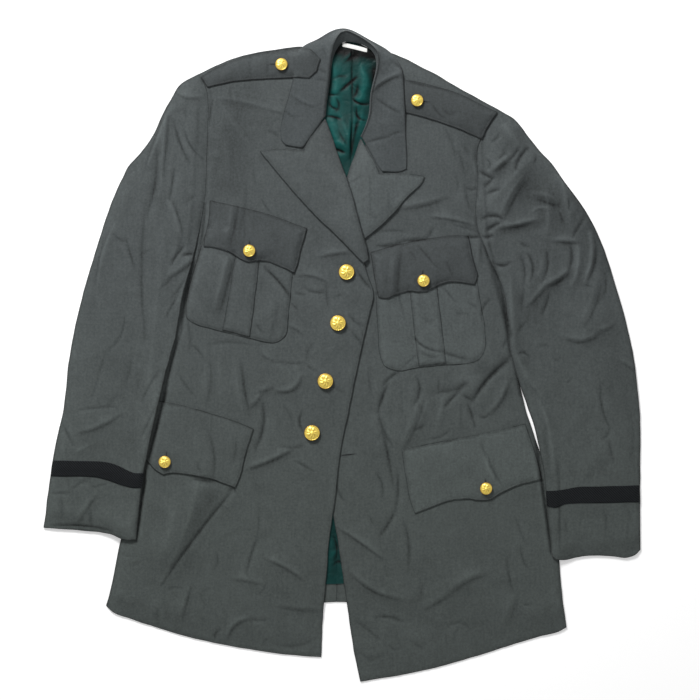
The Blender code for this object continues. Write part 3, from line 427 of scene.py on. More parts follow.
# Each crease: where it starts and ends, its bow, its height (below zero for a groove) and its half
# width; where there are two widths, the first is of the steep side and the other of the gentle one.
FOLDS = {
    "body_right": (
        (-175, 193, -186, 118, 2, -1.2, 2.3), (-187, 118, -205, 31, -3, -2.2, 3.1),
        (-205, 31, -229, -65, -2, -1.4, 2.3), (-183, -161, -220, -271, 4, 2.6, 15.4),
        (-223, -39, -248, -141, 0, -2.2, 2), (-250, -145, -262, -235, 0, -2.2, 2),
        (-165, 328, -169, 292, -1, -0.9, 1.9), (-170, 341, -168, 326, 1, -0.5, 1.5),
        (-102, 317, -155, 328, -1, 0.9, 2.8, 7.3), (-74, 310, -102, 317, 0, 0.6, 2.6, 6.7),
        (-151, 314, -120, 270, -1, 0.9, 4.5, 11.6), (-149, 274, -147, 226, 3, 0.6, 3.8, 10),
        (-122, 221, -131, 153, 3, -0.45, 3.2), (-102, 198, -90, 180, -1, -0.5, 1.9),
        (-115, 249, -108, 211, -1, -0.4, 3.8), (-166, 262, -170, 204, 1, 0.6, 5.1, 13.3),
        (-139, 192, -149, 140, 1, 1.3, 5.1, 13.3), (-127, 182, -127, 134, 3, -0.4, 2.6),
        (-96, 286, -81, 278, 1, -0.5, 2.6), (-141, 341, -140, 323, -2, -0.4, 3.2),
        (-120, 341, -122, 324, -1, -0.4, 3.8), (9, 132, -28, 127, -1, 1.1, 2.6, 6.7),
        (-18, 94, -55, 103, -3, 0.8, 2, 5.3), (-60, 79, -47, 77, -1, -0.6, 1.8),
        (-46, 84, -23, 79, -2, -0.8, 2.3), (-20, 89, -17, 60, -1, -0.5, 3.8),
        (-12, 71, 0, 77, 0, -0.5, 2.6), (-145, 127, -164, 53, 1, 1.9, 5.8, 15),
        (-99, 111, -65, 72, 2, -1.3, 3.8), (-102, 99, -105, 79, 1, -0.4, 2.6),
        (-109, 38, -102, 29, 0, -0.5, 2.6), (-65, 65, -56, 57, 0, -0.6, 1.9),
        (-49, 27, -66, 38, -1, 0.7, 2, 5.3), (-89, 70, -96, 32, 2, 0.6, 5.1, 13.3),
        (-87, -7, -104, 3, 0, 0.6, 2.3, 6), (-88, -9, -46, -11, -1, -0.4, 2.6),
        (-53, -27, -84, -45, 8, 1.4, 2.8, 7.3), (-103, -48, -119, -66, 1, 0.9, 2.8, 7.3),
        (-89, -39, -109, -46, 1, 0.8, 2.6, 6.7), (-136, -15, -127, -70, -1, 1.6, 5.8, 15),
        (-176, -4, -180, -63, 4, 0.8, 5.1, 13.3), (-154, 3, -155, -71, -2, 0.8, 10.2),
        (-101, -65, -111, -121, 5, -1.4, 5.1), (-51, -72, -49, -100, -4, -0.9, 2),
        (-78, -117, -49, -117, -2, -0.6, 3.2), (-66, -120, -119, -143, 2, 1.6, 2.8, 7.3),
        (-60, -136, -36, -149, 0, -0.6, 2), (-45, -11, -37, 13, 3, -0.6, 4.5),
        (-45, -13, -32, -22, -1, -0.4, 1.9), (10, 52, 27, 36, -3, -0.7, 2.8),
        (13, 29, 26, 12, 0, -0.7, 3.1), (-13, -40, 5, -51, 0, -0.4, 2.3),
        (-169, 13, -115, 12, 3, -0.5, 3.2), (20, 106, 38, 83, -1, -1.1, 3.2),
        (-198, 44, -196, 3, 3, -0.6, 3.2), (-192, 12, -174, -10, 2, -0.5, 3.2),
        (-210, -22, -187, -53, -2, -0.5, 3.2), (-76, -65, -64, -94, 4, -0.35, 3.2),
        (-169, -103, -164, -153, 3, -0.8, 5.1), (-184, -138, -179, -154, -1, -0.5, 3.8),
        (-136, -106, -142, -145, 3, -0.5, 3.8), (-191, -158, -161, -162, -1, -1.2, 5.1),
        (-141, -175, -230, -294, -2, -1.6, 2.6), (-147, -176, -134, -177, 5, -0.8, 3.8),
        (-211, -186, -233, -263, 2, 1.2, 12.8), (-234, -295, -220, -278, 0, 0.5, 2.6),
        (-223, -300, -202, -299, 2, -0.4, 2), (-197, -296, -207, -335, 0, 1, 3.2, 8.3),
        (-234, -322, -236, -345, -2, -0.5, 5.1), (-269, -271, -257, -264, 0, -0.4, 1.9),
        (-48, -287, -95, -260, -3, 1, 2.6, 6.7), (-108, -235, -122, -278, -1, -0.8, 2.8),
        (-106, -193, -109, -234, 1, -0.4, 3.8), (-101, -292, -140, -284, -1, 0.8, 2.8, 7.3),
        (-123, -276, -115, -289, -1, -0.4, 2.6), (-97, -290, -108, -307, 3, -0.4, 2.6),
        (-160, -253, -164, -277, 3, -0.5, 2.6), (-119, -336, -148, -360, -6, 1.3, 2.8, 7.3),
        (-163, -365, -156, -351, 2, -0.8, 2.6), (-118, -337, -95, -339, -2, -0.5, 2.6),
        (-28, -324, -80, -318, 1, 0.8, 3.8, 10), (-79, -372, -38, -365, -4, -0.6, 5.1),
        (-102, -372, -95, -363, 1, -0.4, 1.9), (-174, -319, -173, -299, 6, -0.4, 3.2),
        (-246, -314, -246, -340, 3, 0.5, 9),
    ),
    "body_left": (
        (186, 152, 204, 83, -1, -1.6, 2.3), (204, 85, 216, -2, 1, -2.4, 3.3),
        (211, -10, 169, -57, -3, -1.4, 2), (247, -107, 268, -254, 1, -2.6, 2.3),
        (4, 217, 24, 228, -1, -0.5, 1.9), (24, 194, 35, 202, 1, -0.3, 1.5),
        (36, 230, 37, 180, -1, -0.3, 1.9), (33, 181, 46, 175, -1, -0.4, 5.1),
        (130, 203, 76, 190, 2, 1.4, 3.8, 10), (171, 166, 114, 177, -2, 1, 2, 5.3),
        (141, 166, 174, 157, 0, -0.5, 1.8), (49, 157, 81, 157, 1, -0.6, 2.3),
        (44, 139, 79, 145, -3, -1.3, 3.2), (79, 145, 108, 147, 0, -1.3, 2.8),
        (106, 147, 116, 162, -2, -0.9, 2.6), (97, 139, 120, 112, 0, -0.6, 2),
        (88, 132, 95, 122, -1, -0.3, 1.8), (68, 134, 63, 76, 0, 1.2, 5.1, 13.3),
        (133, 118, 141, 100, 1, -0.5, 2.6), (129, 86, 146, 66, 0, -0.6, 1.9),
        (161, 70, 174, 61, -3, -0.4, 2.6), (191, 71, 179, 43, -5, -0.8, 2),
        (178, 140, 179, 118, -1, -0.7, 5.1), (152, 219, 160, 183, -2, 0.7, 3.8, 10),
        (145, 234, 146, 208, 2, -0.4, 5.1), (159, 150, 177, 150, 0, -1.2, 2.6),
        (160, 212, 174, 214, -2, -0.7, 2.6), (172, 149, 174, 118, 1, 0.6, 3.8),
        (147, 262, 157, 226, 2, -0.5, 3.8), (164, 252, 172, 228, 2, 0.7, 3.8),
        (174, 268, 175, 241, -3, -0.9, 3.8), (134, 285, 145, 252, 1, -0.6, 6.4),
        (154, 271, 164, 252, 0, -0.5, 3.8), (92, 22, 127, 4, -5, -0.9, 2), (127, 4, 160, -6, -1, -0.9, 3.8),
        (97, 1, 73, -20, 0, -0.4, 1.9), (101, 3, 125, -2, -3, -0.7, 6.4), (69, 93, 79, 47, 0, -0.5, 4.5),
        (100, 51, 122, 47, -7, -0.4, 6.4), (142, 57, 164, 54, -4, -0.4, 5.1),
        (73, -22, 52, -39, -1, -1.1, 2.6), (58, -39, 46, -74, -1, -1.4, 4.1),
        (47, -75, 65, -117, -3, -0.9, 4.5), (51, -94, 65, -166, 1, -1.1, 7.7),
        (96, -29, 90, -66, 6, -1.1, 4.5), (97, -63, 75, -116, 2, 1.3, 5.1, 13.3),
        (106, -89, 90, -98, 1, -0.8, 3.2), (131, -68, 150, -47, 1, -1.3, 3.2),
        (147, -48, 161, -36, 2, -0.9, 3.8), (120, -48, 159, -40, -2, -0.9, 5.8),
        (123, -30, 122, -47, 1, -0.5, 3.8), (216, -4, 166, -60, -4, -2.6, 5.8),
        (154, -51, 168, -60, 0, -1, 3.8), (211, 19, 206, 8, -1, -0.7, 2),
        (211, -32, 186, -75, 4, 1.3, 3.2, 8.3), (188, -76, 175, -79, 3, -0.8, 2.3),
        (160, -62, 170, -94, 1, -1, 3.6), (152, -62, 151, -97, 1, -0.4, 3.2),
        (110, -109, 140, -95, -3, -0.5, 1.9), (105, -58, 108, -84, -4, -0.5, 3.2),
        (129, -52, 119, -99, 2, 0.8, 5.1), (109, -58, 88, -109, 2, 0.8, 5.1),
        (51, -99, 46, -109, -1, -0.5, 2.3), (72, -58, 69, -90, -1, 0.6, 5.1),
        (35, -22, 38, -53, -1, -0.5, 3.8), (182, -130, 200, -167, -2, 1, 3.1, 8),
        (127, -115, 146, -109, 1, -0.3, 2), (178, -109, 184, -132, -1, -0.4, 2.6),
        (44, -152, 51, -184, 4, -0.7, 3.2), (70, -148, 67, -205, 3, -0.9, 3.8),
        (67, -202, 49, -231, 1, -1, 3.6), (35, -205, 40, -217, 0, -0.4, 3.2),
        (53, -259, -2, -221, -1, 1.1, 2.3, 6), (75, -310, 14, -278, 6, 1.3, 3.1, 8),
        (-8, -167, 4, -189, -1, -0.7, 2.6), (79, -212, 84, -278, 4, -0.8, 5.1),
        (44, -336, 79, -342, 3, -0.8, 3.8), (20, -342, 49, -365, 0, -0.6, 4.5),
        (61, -372, 70, -378, -1, -0.4, 1.9), (180, -277, 137, -300, -3, 1.4, 4.5, 11.6),
        (137, -302, 104, -322, 1, 0.9, 3.8, 10), (105, -289, 100, -314, -1, -0.5, 3.8),
        (91, -367, 108, -378, -1, -0.5, 5.1), (136, -346, 164, -350, 5, -0.4, 3.8),
        (132, -355, 134, -371, 0, -0.3, 2), (211, -257, 219, -304, -2, -0.6, 3.8),
        (228, -244, 237, -273, -2, -0.6, 3.8), (232, -319, 242, -318, -2, -0.5, 2),
        (218, -307, 209, -336, 0, 0.7, 5.1, 13.3), (221, -205, 236, -244, -1, -0.4, 3.8),
        (23, -381, 51, -385, -6, -0.4, 5.1),
    ),
    "sleeve_right": (
        (-181, 331, -211, 336, 4, 0.9, 2.3, 6), (-200, 318, -198, 303, -2, -0.4, 5.1),
        (-215, 298, -195, 244, -2, -0.9, 2.8), (-201, 286, -178, 250, -4, -0.8, 2.3),
        (-247, 243, -219, 316, 1, 1.6, 2.3, 6), (-224, 307, -231, 226, 0, 1.2, 2.3, 6),
        (-237, 267, -250, 177, 5, -1, 6.4), (-229, 228, -234, 198, 0, 0.8, 3.8),
        (-214, 236, -220, 198, 0, -1, 2.6), (-222, 197, -207, 150, 2, 1.2, 3.3, 8.7),
        (-206, 149, -210, 132, 1, -0.5, 3.2), (-192, 204, -200, 147, 1, 1.5, 10.2),
        (-202, 138, -218, 115, -1, -1.5, 2.3), (-187, 129, -204, 127, 0, -1.4, 2.6),
        (-191, 123, -223, 100, 1, 1.3, 3.1, 8), (-200, 95, -218, 71, 0, -0.9, 2.6),
        (-294, 157, -275, 143, -2, -0.5, 3.8), (-276, 147, -264, 107, 0, -0.7, 3.6),
        (-312, 87, -290, 167, 5, 1.1, 2, 5.3), (-251, 191, -251, 19, -5, -0.8, 7.7),
        (-223, 179, -250, -58, 0, 1.4, 11.5), (-206, 83, -224, 48, 0, -0.8, 2),
        (-216, 98, -236, 80, 0, -0.5, 1.9), (-274, 217, -280, 179, -2, 0.5, 3.8),
        (-278, 48, -302, 3, 7, -0.5, 2), (-302, 3, -320, -57, 0, -0.4, 2),
        (-286, -76, -335, -98, 3, 1, 2.6, 6.7), (-338, -71, -289, -66, 0, -0.5, 1.9),
        (-357, -89, -344, -116, 0, -0.6, 2.8), (-232, -19, -256, -60, -1, -0.6, 2),
        (-236, -63, -255, -104, 0, -0.7, 2.6), (-343, -126, -321, -115, 0, 0.6, 2.8),
        (-312, -56, -305, -68, -2, -0.3, 2), (-287, -52, -300, -71, -1, -0.4, 3.8),
        (-372, -177, -346, -176, -1, -0.6, 2), (-346, -173, -323, -161, 2, -0.6, 2.3),
        (-342, -161, -319, -158, -1, -0.3, 1.5), (-321, -170, -298, -164, -1, -0.4, 1.8),
        (-318, -181, -341, -215, 0, 0.9, 2.6, 6.7), (-321, -200, -321, -220, 0, -0.7, 2.6),
        (-360, -180, -361, -217, 3, -0.6, 7.7), (-371, -219, -294, -225, 3, -1.2, 1.8),
        (-351, -157, -349, -173, 1, -0.4, 1.5), (-269, -148, -271, -186, 0, 0.5, 6.4),
        (-268, 6, -282, -45, 4, -0.4, 3.8), (-243, 134, -256, 126, -1, -0.4, 2.6),
        (-187, 203, -200, 191, -1, -0.5, 3.2),
    ),
    "sleeve_left": (
        (187, 188, 255, 259, 4, 1.9, 11.5), (279, 239, 294, 157, 0, 2.9, 10.2),
        (260, 211, 261, 152, 3, 2.2, 7.7), (205, 294, 228, 262, 1, 1.9, 7.7),
        (191, 113, 214, 12, 5, -1.6, 3.8), (212, 252, 192, 235, 0, 3, 3.3, 8.7),
        (177, 234, 193, 225, -1, -1.9, 2.6), (193, 225, 182, 214, 0, -1.8, 2.6),
        (238, 264, 221, 235, -3, -2.1, 2.6), (227, 266, 214, 248, 1, -1.1, 2.3),
        (247, 257, 246, 244, 1, -0.96, 3.1), (201, 282, 191, 271, 1, -0.8, 2.3),
        (211, 262, 198, 248, 1, -0.8, 2.3), (184, 250, 184, 236, 5, -0.96, 2.6),
        (232, 229, 201, 175, -3, 2.9, 5.8, 15), (183, 204, 202, 211, 1, -1.3, 3.1),
        (178, 173, 206, 173, 4, -1.8, 2.8), (184, 157, 202, 168, 1, -2.4, 2.6),
        (247, 173, 201, 164, 2, 2.7, 2.8, 7.3), (180, 150, 193, 152, -1, -1.8, 2.6),
        (247, 200, 280, 189, -1, -1.8, 9), (240, 205, 274, 197, 4, 0.96, 2.6, 6.7),
        (241, 181, 270, 179, 8, 1.1, 2.6), (278, 181, 282, 166, 1, -1.3, 2),
        (289, 199, 289, 182, 1, -1.3, 2.3), (301, 145, 273, 147, 0, 1.9, 2.6, 6.7),
        (310, 176, 293, 147, 0, -1.1, 2.3), (195, 116, 215, 117, -3, -1.6, 2.6),
        (292, 139, 289, 106, 3, -1.4, 3.8), (301, 140, 294, 88, 4, 1.9, 3.8),
        (317, 157, 310, 94, 6, 2.2, 3.1), (323, 147, 315, 95, 5, -1.3, 3.3),
        (290, 110, 257, 88, 2, 2.7, 3.6, 9.3), (259, 88, 238, 65, 0, 1.6, 2.6, 6.7),
        (266, 83, 255, 49, 1, -1, 2.6), (262, 131, 255, 92, 4, -1.3, 2.6),
        (255, 127, 250, 100, 2, 1.1, 3.8), (237, 129, 241, 94, 5, -1.1, 2.6),
        (229, 124, 232, 88, 3, -0.96, 3.8), (233, 85, 229, 54, -1, -0.8, 5.1),
        (228, 143, 239, 138, -1, -0.8, 3.2), (214, 102, 219, 12, 1, 1.8, 5.8),
        (220, 12, 246, -43, -3, 1.5, 5.1), (250, -48, 270, -148, 5, 1.5, 5.1),
        (241, -40, 262, -79, 3, -0.4, 2.3), (223, 25, 237, 42, 2, -0.6, 3.2),
        (223, -1, 239, -4, 5, -0.9, 2.3), (310, 89, 321, 86, 0, -0.64, 1.8),
        (324, 94, 301, 37, 4, 1.4, 5.8, 15), (330, 33, 285, 24, 8, 1.3, 3.8, 10),
        (346, 42, 329, 32, 2, 0.9, 2.8, 7.3), (376, -20, 353, -6, -2, 0.9, 2.6, 6.7),
        (251, 10, 264, 11, 1, -0.4, 1.8), (269, -3, 278, -4, -3, -0.4, 3.2),
        (287, -38, 294, -29, 0, -0.4, 1.9), (330, -38, 342, -94, -4, -0.8, 3.8),
        (342, -94, 333, -108, 2, -0.6, 3.1), (340, -109, 346, -138, 1, -0.6, 3.8),
        (276, -138, 278, -254, 1, -0.7, 1.8), (270, -196, 271, -253, -1, 0.6, 3.8),
        (285, -211, 289, -230, -1, -0.4, 1.9), (334, -196, 335, -235, 3, -0.4, 5.1),
        (364, -193, 364, -231, 3, -0.3, 5.1), (369, -77, 369, -135, 3, -0.4, 5.1),
        (256, -97, 262, -135, 1, -0.3, 2.6), (334, 108, 333, 70, 4, -0.8, 4.5),
        (279, 227, 297, 203, 1, 1.6, 2.6),
    ),
    "lining": (
        (-14, 377, -15, 310, 7, 2, 9), (23, 374, 20, 316, 6, 2, 9), (-13, 298, 4, 252, 6, 2, 9),
        (17, 303, 8, 256, -2, 1.6, 3.8, 10), (-18, 390, -18, 307, 3, -0.9, 6.4),
        (38, 374, 36, 313, 6, -0.9, 6.4), (19, 355, -3, 336, 0, -1.4, 2), (14, 326, 35, 321, -3, -1.3, 2),
        (-19, 333, -3, 333, -1, -1, 1.8), (-20, 305, 0, 300, 1, -1.1, 1.9), (-14, 264, 5, 258, 0, -1.2, 2),
        (12, 374, 13, 326, 0, -0.7, 1.8), (-1, 369, 18, 382, 2, -1, 2.6), (13, 387, -1, 369, 0, 1, 3.1),
        (-17, 322, -4, 313, -2, -1, 2), (-14, 298, 0, 267, -3, 1, 5.1), (-5, 290, 6, 268, -1, -1, 4.5),
        (19, 316, 31, 299, -6, -0.9, 2), (-12, 351, 4, 356, 2, -0.7, 2.6), (26, 362, 29, 336, 5, 1.2, 5.1),
        (-8, 328, -8, 310, 4, -0.8, 2), (20, 345, 14, 328, 2, -0.8, 3.8), (31, 332, 18, 326, 2, 0.6, 2.6),
        (-3, 307, 10, 275, 0, 0.8, 3.8), (-12, 272, 6, 263, 2, 0.8, 2.6), (26, 313, 18, 277, 2, 0.8, 3.8),
        (-12, -231, -9, -263, 4, -0.9, 2.6), (-10, -269, 0, -266, 3, -0.8, 2.6),
        (-14, -257, -4, -250, 1, 0.7, 3.2),
    ),
    "collar": (
        (-50, 263, -22, 301, 0, -1.2, 3.8), (-33, 318, -61, 331, 2, 0.6, 1.8, 4.7),
        (-74, 312, -58, 301, -1, -0.5, 1.8), (-33, 351, -19, 348, 1, -0.6, 2.3),
        (-31, 364, -18, 360, -1, -0.5, 2.3), (-44, 262, -37, 281, 2, -0.4, 1.5),
        (-26, 395, -22, 369, 3, -0.4, 2.6), (76, 359, 38, 338, -3, 1.6, 2.6, 6.7),
        (44, 327, 74, 308, -1, -0.9, 2.6), (31, 271, 59, 278, 0, -0.8, 2.3),
        (59, 278, 77, 285, 1, -0.6, 2.3), (62, 370, 78, 355, 2, 0.9, 3.2, 8.3),
        (69, 380, 81, 362, 1, 0.7, 3.2), (38, 308, 64, 295, -5, 0.7, 7.7), (13, 235, 46, 236, 6, -0.4, 1.8),
        (-51, 403, -18, 390, 3, 0.4, 3.8),
    ),
    "epaulette_right": (
        (-95, 386, -97, 351, 1, -0.4, 3.8), (-118, 382, -116, 351, -1, -0.3, 2),
        (-72, 388, -68, 377, -1, -0.4, 3.8), (-54, 394, -44, 394, 1, -0.5, 2.6),
        (-141, 374, -150, 349, -3, 0.4, 7.7),
    ),
    "epaulette_left": (
        (116, 319, 132, 301, -2, -0.7, 2.6), (127, 316, 148, 310, -6, -0.6, 6.4),
        (87, 348, 115, 341, 0, -0.8, 1.8), (115, 341, 159, 330, 2, -0.5, 2),
        (159, 330, 195, 316, 2, -0.4, 2.6),
    ),
}

# Each painted shade, which darkens the cloth's colour where it turns away between its folds: where it
# starts and ends, its half width and its share.
SHADES = {
    "body_right": (
        (-137, 319, -146, 223, 30.7, 0.42), (-166, -186, -215, -266, 14.1, 0.38),
        (-225, -48, -251, -148, 3.3, 0.9), (-251, -148, -264, -237, 3.1, 0.9),
        (-123, 182, -141, 139, 11.5, 0.2), (-182, 191, -200, 70, 3.8, 0.6),
        (-154, 108, -164, 57, 10.2, 0.2), (-178, 336, -178, 198, 2, 0.35),
    ),
    "body_left": (
        (184, 136, 218, 12, 3.3, 1), (219, 6, 229, -52, 3.6, 1), (179, 272, 175, 153, 2.2, 0.6),
        (248, -109, 268, -253, 2.6, 0.9), (164, 300, 154, 249, 10.2, 0.18),
        (106, -278, 164, -301, 12.8, 0.16), (13, -295, 64, -314, 15.4, 0.18),
        (209, -10, 177, -48, 7.7, 0.4),
    ),
    "sleeve_right": (
        (-182, 328, -195, 134, 2.6, 0.4), (-233, 262, -236, 211, 10.2, 0.14),
    ),
    "sleeve_left": (
        (228, 226, 294, 170, 21.8, 0.46), (298, 204, 338, 118, 17.9, 0.46),
        (264, 124, 243, 51, 15.4, 0.4), (230, 280, 189, 223, 12.8, 0.34),
        (330, 83, 358, -58, 23, 0.2), (179, 272, 186, 147, 2.2, 0.6), (187, 144, 216, 25, 2.3, 0.8),
        (202, 157, 260, 170, 7.7, 0.35), (260, -90, 270, -244, 3.8, 0.3),
        (209, 166, 177, 179, 9, 0.2),
    ),
    "lining": (
        (-8, 388, 44, 381, 11.5, 1), (50, 380, 41, 351, 11.5, 1), (-19, 390, -20, 326, 6.4, 0.6),
        (38, 345, 33, 310, 7.7, 0.5), (-3, 300, 5, 249, 7.7, 0.2), (-10, -225, -8, -276, 12.8, 0.2),
    ),
}


def fold_shades(plan, shades):
    """How much painted shade darkens the cloth at each plan point where it turns away between its folds."""
    painted_shade = np.zeros(len(plan))
    for x0, y0, x1, y1, width, share in shades:
        start = np.array([x0, y0], float)
        along = np.array([x1, y1]) - start
        run = np.clip((plan - start) @ along / (along @ along), 0, 1)
        off = np.linalg.norm(plan - start - run[:, None] * along, axis=1)
        painted_shade = np.maximum(painted_shade, share * bell(off / width))
    return painted_shade


def fold_heights(plan, folds):
    """The height that a table of creases gives at each plan point, and the painted shade along its creases.

    A crease's left side, seen from its start, falls off over its steep width and the other side
    over its gentle width.  Cloth beside a groove puffs up a little.
    """
    heights = np.zeros(len(plan))
    painted_shade = np.zeros(len(plan))
    for x0, y0, x1, y1, bow, height, steep, *wide in folds:
        gentle = wide[0] if wide else steep
        start = np.array([x0, y0], float)
        along = np.array([x1, y1]) - start
        length = np.linalg.norm(along)
        along = along / length
        across = np.array([-along[1], along[0]])
        reach = length / 2 + abs(bow) + FOLD_REACH * gentle
        near = np.linalg.norm(plan - start - along * length / 2, axis=1) < reach
        offset = plan[near] - start
        run = offset @ along / length
        held = np.clip(run, 0, 1)
        aside = offset @ across - bow * 4 * held * (1 - held)
        past = (run - held) * length / (FOLD_FADE * gentle)
        width = np.where(aside > 0, steep, gentle)
        rise = FOLD_ENDS + (1 - FOLD_ENDS) * np.sin(held * np.pi) ** FOLD_ROUND
        swell = rise * bell(past)
        ridge = np.exp(-(np.abs(aside / width) ** FOLD_POWER))
        groove = height < 0
        if groove:
            ridge -= PUFF * bell(aside / (PUFF_WIDTH * width))
        heights[near] += FOLD_GAIN * height * ridge * swell
        # Painted shade along a groove's middle, or at the foot of a ridge's steep side, where shadow falls.
        if groove or gentle > steep:
            foot = aside if groove else aside - CREASE_FOOT * steep
            depth = min(1.0, abs(height) / CREASE_SHADE_DEPTH)
            line = depth * bell(foot / (CREASE_SHADE_WIDTH + CREASE_SHADE_SPREAD * steep)) * swell
            painted_shade[near] = np.maximum(painted_shade[near], line)
    return heights, painted_shade


# ---------------------------------------------------------------- materials

WEAVE = "Twill weave"
RIB_TURN = math.radians(62)
STREAK_DRAW = (1.0, 0.16, 1.0)
CRUMPLES = ((0.026, 1.0), (0.07, 0.3), (0.2, 0.1))  # scale and share
CRUMPLE_TWIST = 0.3
# Tint of the wool towards the hem: a little greener lower down.
LOW_TINT = (1.0, 1.025, 0.97)
TARNISH_AND_RIM_SHADE = (0.20, 0.085, 0.012)
# The sockets of a Mix node that mixes colours.
MIX_SHARE, MIX_FIRST, MIX_SECOND, MIXED = 0, 6, 7, 2


def fill(tree, sockets, values):
    """Gives each socket named its value, or a link where the value is a socket."""
    for key, value in values.items():
        if isinstance(value, bpy.types.NodeSocket):
            tree.links.new(value, sockets[key])
        else:
            sockets[key].default_value = value


def add_node(tree, kind, values=(), **settings):
    """The outputs of a new node with its settings and its filled sockets."""
    node = tree.nodes.new(f"ShaderNode{kind}")
    for key, value in settings.items():
        setattr(node, key, value)
    fill(tree, node.inputs, dict(values))
    return node.outputs


def maths(tree, operation, *values):
    """A Math node's result from values or sockets."""
    return add_node(tree, "Math", enumerate(values), operation=operation)[0]


def plus(tree, first, second):
    """A sum of values or sockets."""
    return maths(tree, "ADD", first, second)


def times(tree, first, second):
    """A product of values or sockets."""
    return maths(tree, "MULTIPLY", first, second)


def middled(tree, source, share):
    """A share of how far a source lies from its middle, 0.5."""
    return times(tree, maths(tree, "SUBTRACT", source, 0.5), share)


def noise_of(tree, place, scale, detail, roughness, distortion=0.0):
    """A noise texture's value."""
    return add_node(tree, "TexNoise", {"Vector": place, "Scale": scale, "Detail": detail,
                                       "Roughness": roughness, "Distortion": distortion})["Fac"]


def scaled_by(tree, vector, scale):
    """A vector or colour times a value."""
    return add_node(tree, "VectorMath", {0: vector, "Scale": scale}, operation="SCALE")[0]


def ramp(tree, value, low, high, start=0.0, end=1.0):
    """A value's place from low to high, turned into one from start to end."""
    return add_node(tree, "MapRange", {"Value": value, "From Min": low, "From Max": high,
                                       "To Min": start, "To Max": end})[0]


def kept(tree, name):
    """A value that is kept on the vertices."""
    return add_node(tree, "Attribute", attribute_name=name)["Fac"]


def mixed(tree, share, first, second):
    """The mix of two colours."""
    return add_node(tree, "Mix", {MIX_SHARE: share, MIX_FIRST: (*first, 1.0),
                                  MIX_SECOND: (*second, 1.0)}, data_type="RGBA")[MIXED]


def weave_group():
    """Fine diagonal ribs with the unevenness of spun yarn."""
    tree = bpy.data.node_groups.new(WEAVE, "ShaderNodeTree")
    for title, kind in (("Vector", "NodeSocketVector"), ("Pitch", "NodeSocketFloat")):
        tree.interface.new_socket(title, in_out="INPUT", socket_type=kind)
    for title in ("Height", "Mottle", "Patch", "Streak", "Crumple"):
        tree.interface.new_socket(title, in_out="OUTPUT", socket_type="NodeSocketFloat")
    given = tree.nodes.new("NodeGroupInput").outputs
    out = tree.nodes.new("NodeGroupOutput").inputs
    place = scaled_by(tree, given["Vector"], maths(tree, "DIVIDE", 1 / MM, given["Pitch"]))
    turned = add_node(tree, "Mapping", {"Vector": place, "Rotation": (0, 0, RIB_TURN)})[0]
    drawn = add_node(tree, "Mapping", {"Vector": place, "Scale": STREAK_DRAW})[0]
    ribs = add_node(tree, "TexWave", {"Vector": turned, "Scale": 0.5, "Distortion": 1.6,
                                      "Detail": 2.0, "Detail Scale": 1.2})["Fac"]
    yarn = noise_of(tree, place, 1.3, 3.0, 0.6)
    crumple = 0.0
    for scale, share in CRUMPLES:
        fold = noise_of(tree, place, scale, 1.0, 0.5, CRUMPLE_TWIST)
        off = maths(tree, "ABSOLUTE", maths(tree, "SUBTRACT", fold, 0.5))
        crumple = plus(tree, crumple, times(tree, off, 2 * share))
    fill(tree, out, {
        "Height": plus(tree, times(tree, ribs, 0.6), times(tree, yarn, 0.8)),
        "Mottle": noise_of(tree, place, 0.3, 5.0, 0.7),
        "Patch": noise_of(tree, place, 0.025, 3.0, 0.55),
        "Streak": noise_of(tree, drawn, 0.28, 3.0, 0.6),
        "Crumple": crumple,
    })


def new_material(name, pitch=None):
    """A new material's tree, its shader's sockets, the place on the piece and its weave."""
    material = bpy.data.materials.new(name)
    material.use_nodes = True
    tree = material.node_tree
    place = add_node(tree, "TexCoord")["Object"]
    weave = pitch and add_node(tree, "Group", {"Vector": place, "Pitch": pitch},
                               node_tree=bpy.data.node_groups[WEAVE])
    return tree, tree.nodes["Principled BSDF"].inputs, place, weave


def woven(tree, weave, ribs, crumple=None):
    """The normal of a weave, from the strength and depth of its ribs and of its crumpled cloth."""
    under = {}
    if crumple:
        under["Normal"] = add_node(tree, "Bump", {"Strength": crumple[0], "Distance": crumple[1],
                                                  "Height": weave["Crumple"]})[0]
    return add_node(tree, "Bump", {"Strength": ribs[0], "Distance": ribs[1],
                                   "Height": weave["Height"], **under})[0]


def wool_material(name, colour):
    """Grey green worsted wool: twill, nap, painted shade and highlight on folds and edges; greener lower
    down.
    """
    tree, shader, place, weave = new_material(name, pitch=0.9)
    gain = 1.0
    for part, share in (("Mottle", 1.1), ("Patch", 0.3), ("Streak", 0.35)):
        gain = plus(tree, gain, middled(tree, weave[part], share))
    # Painted shade in grooves and creases, painted highlight on ridges.
    painted_groove_shade = plus(tree, times(tree, kept(tree, "hollow"), -0.22), times(tree, kept(tree, "crease"), -0.5))
    # Painted shade along the edges, where each piece's rim casts shadow.
    edge_shade = ramp(tree, kept(tree, "edge"), 0.5, 1.9, -0.5, 0.0)
    gain = plus(tree, gain, plus(tree, edge_shade, painted_groove_shade))
    up = ramp(tree, add_node(tree, "SeparateXYZ", {"Vector": place})["Y"], -0.2, 0.12)
    tint = mixed(tree, up, [value * share for value, share in zip(colour, LOW_TINT)], colour)
    fill(tree, shader, {
        "Base Color": scaled_by(tree, tint, gain),
        "Normal": woven(tree, weave, ribs=(0.6, 0.0004), crumple=(0.7, 0.0015)),
        "Roughness": plus(tree, times(tree, weave["Mottle"], 0.16), 0.78),
        "Specular IOR Level": 0.25, "Sheen Weight": 0.12, "Sheen Roughness": 0.45,
    })


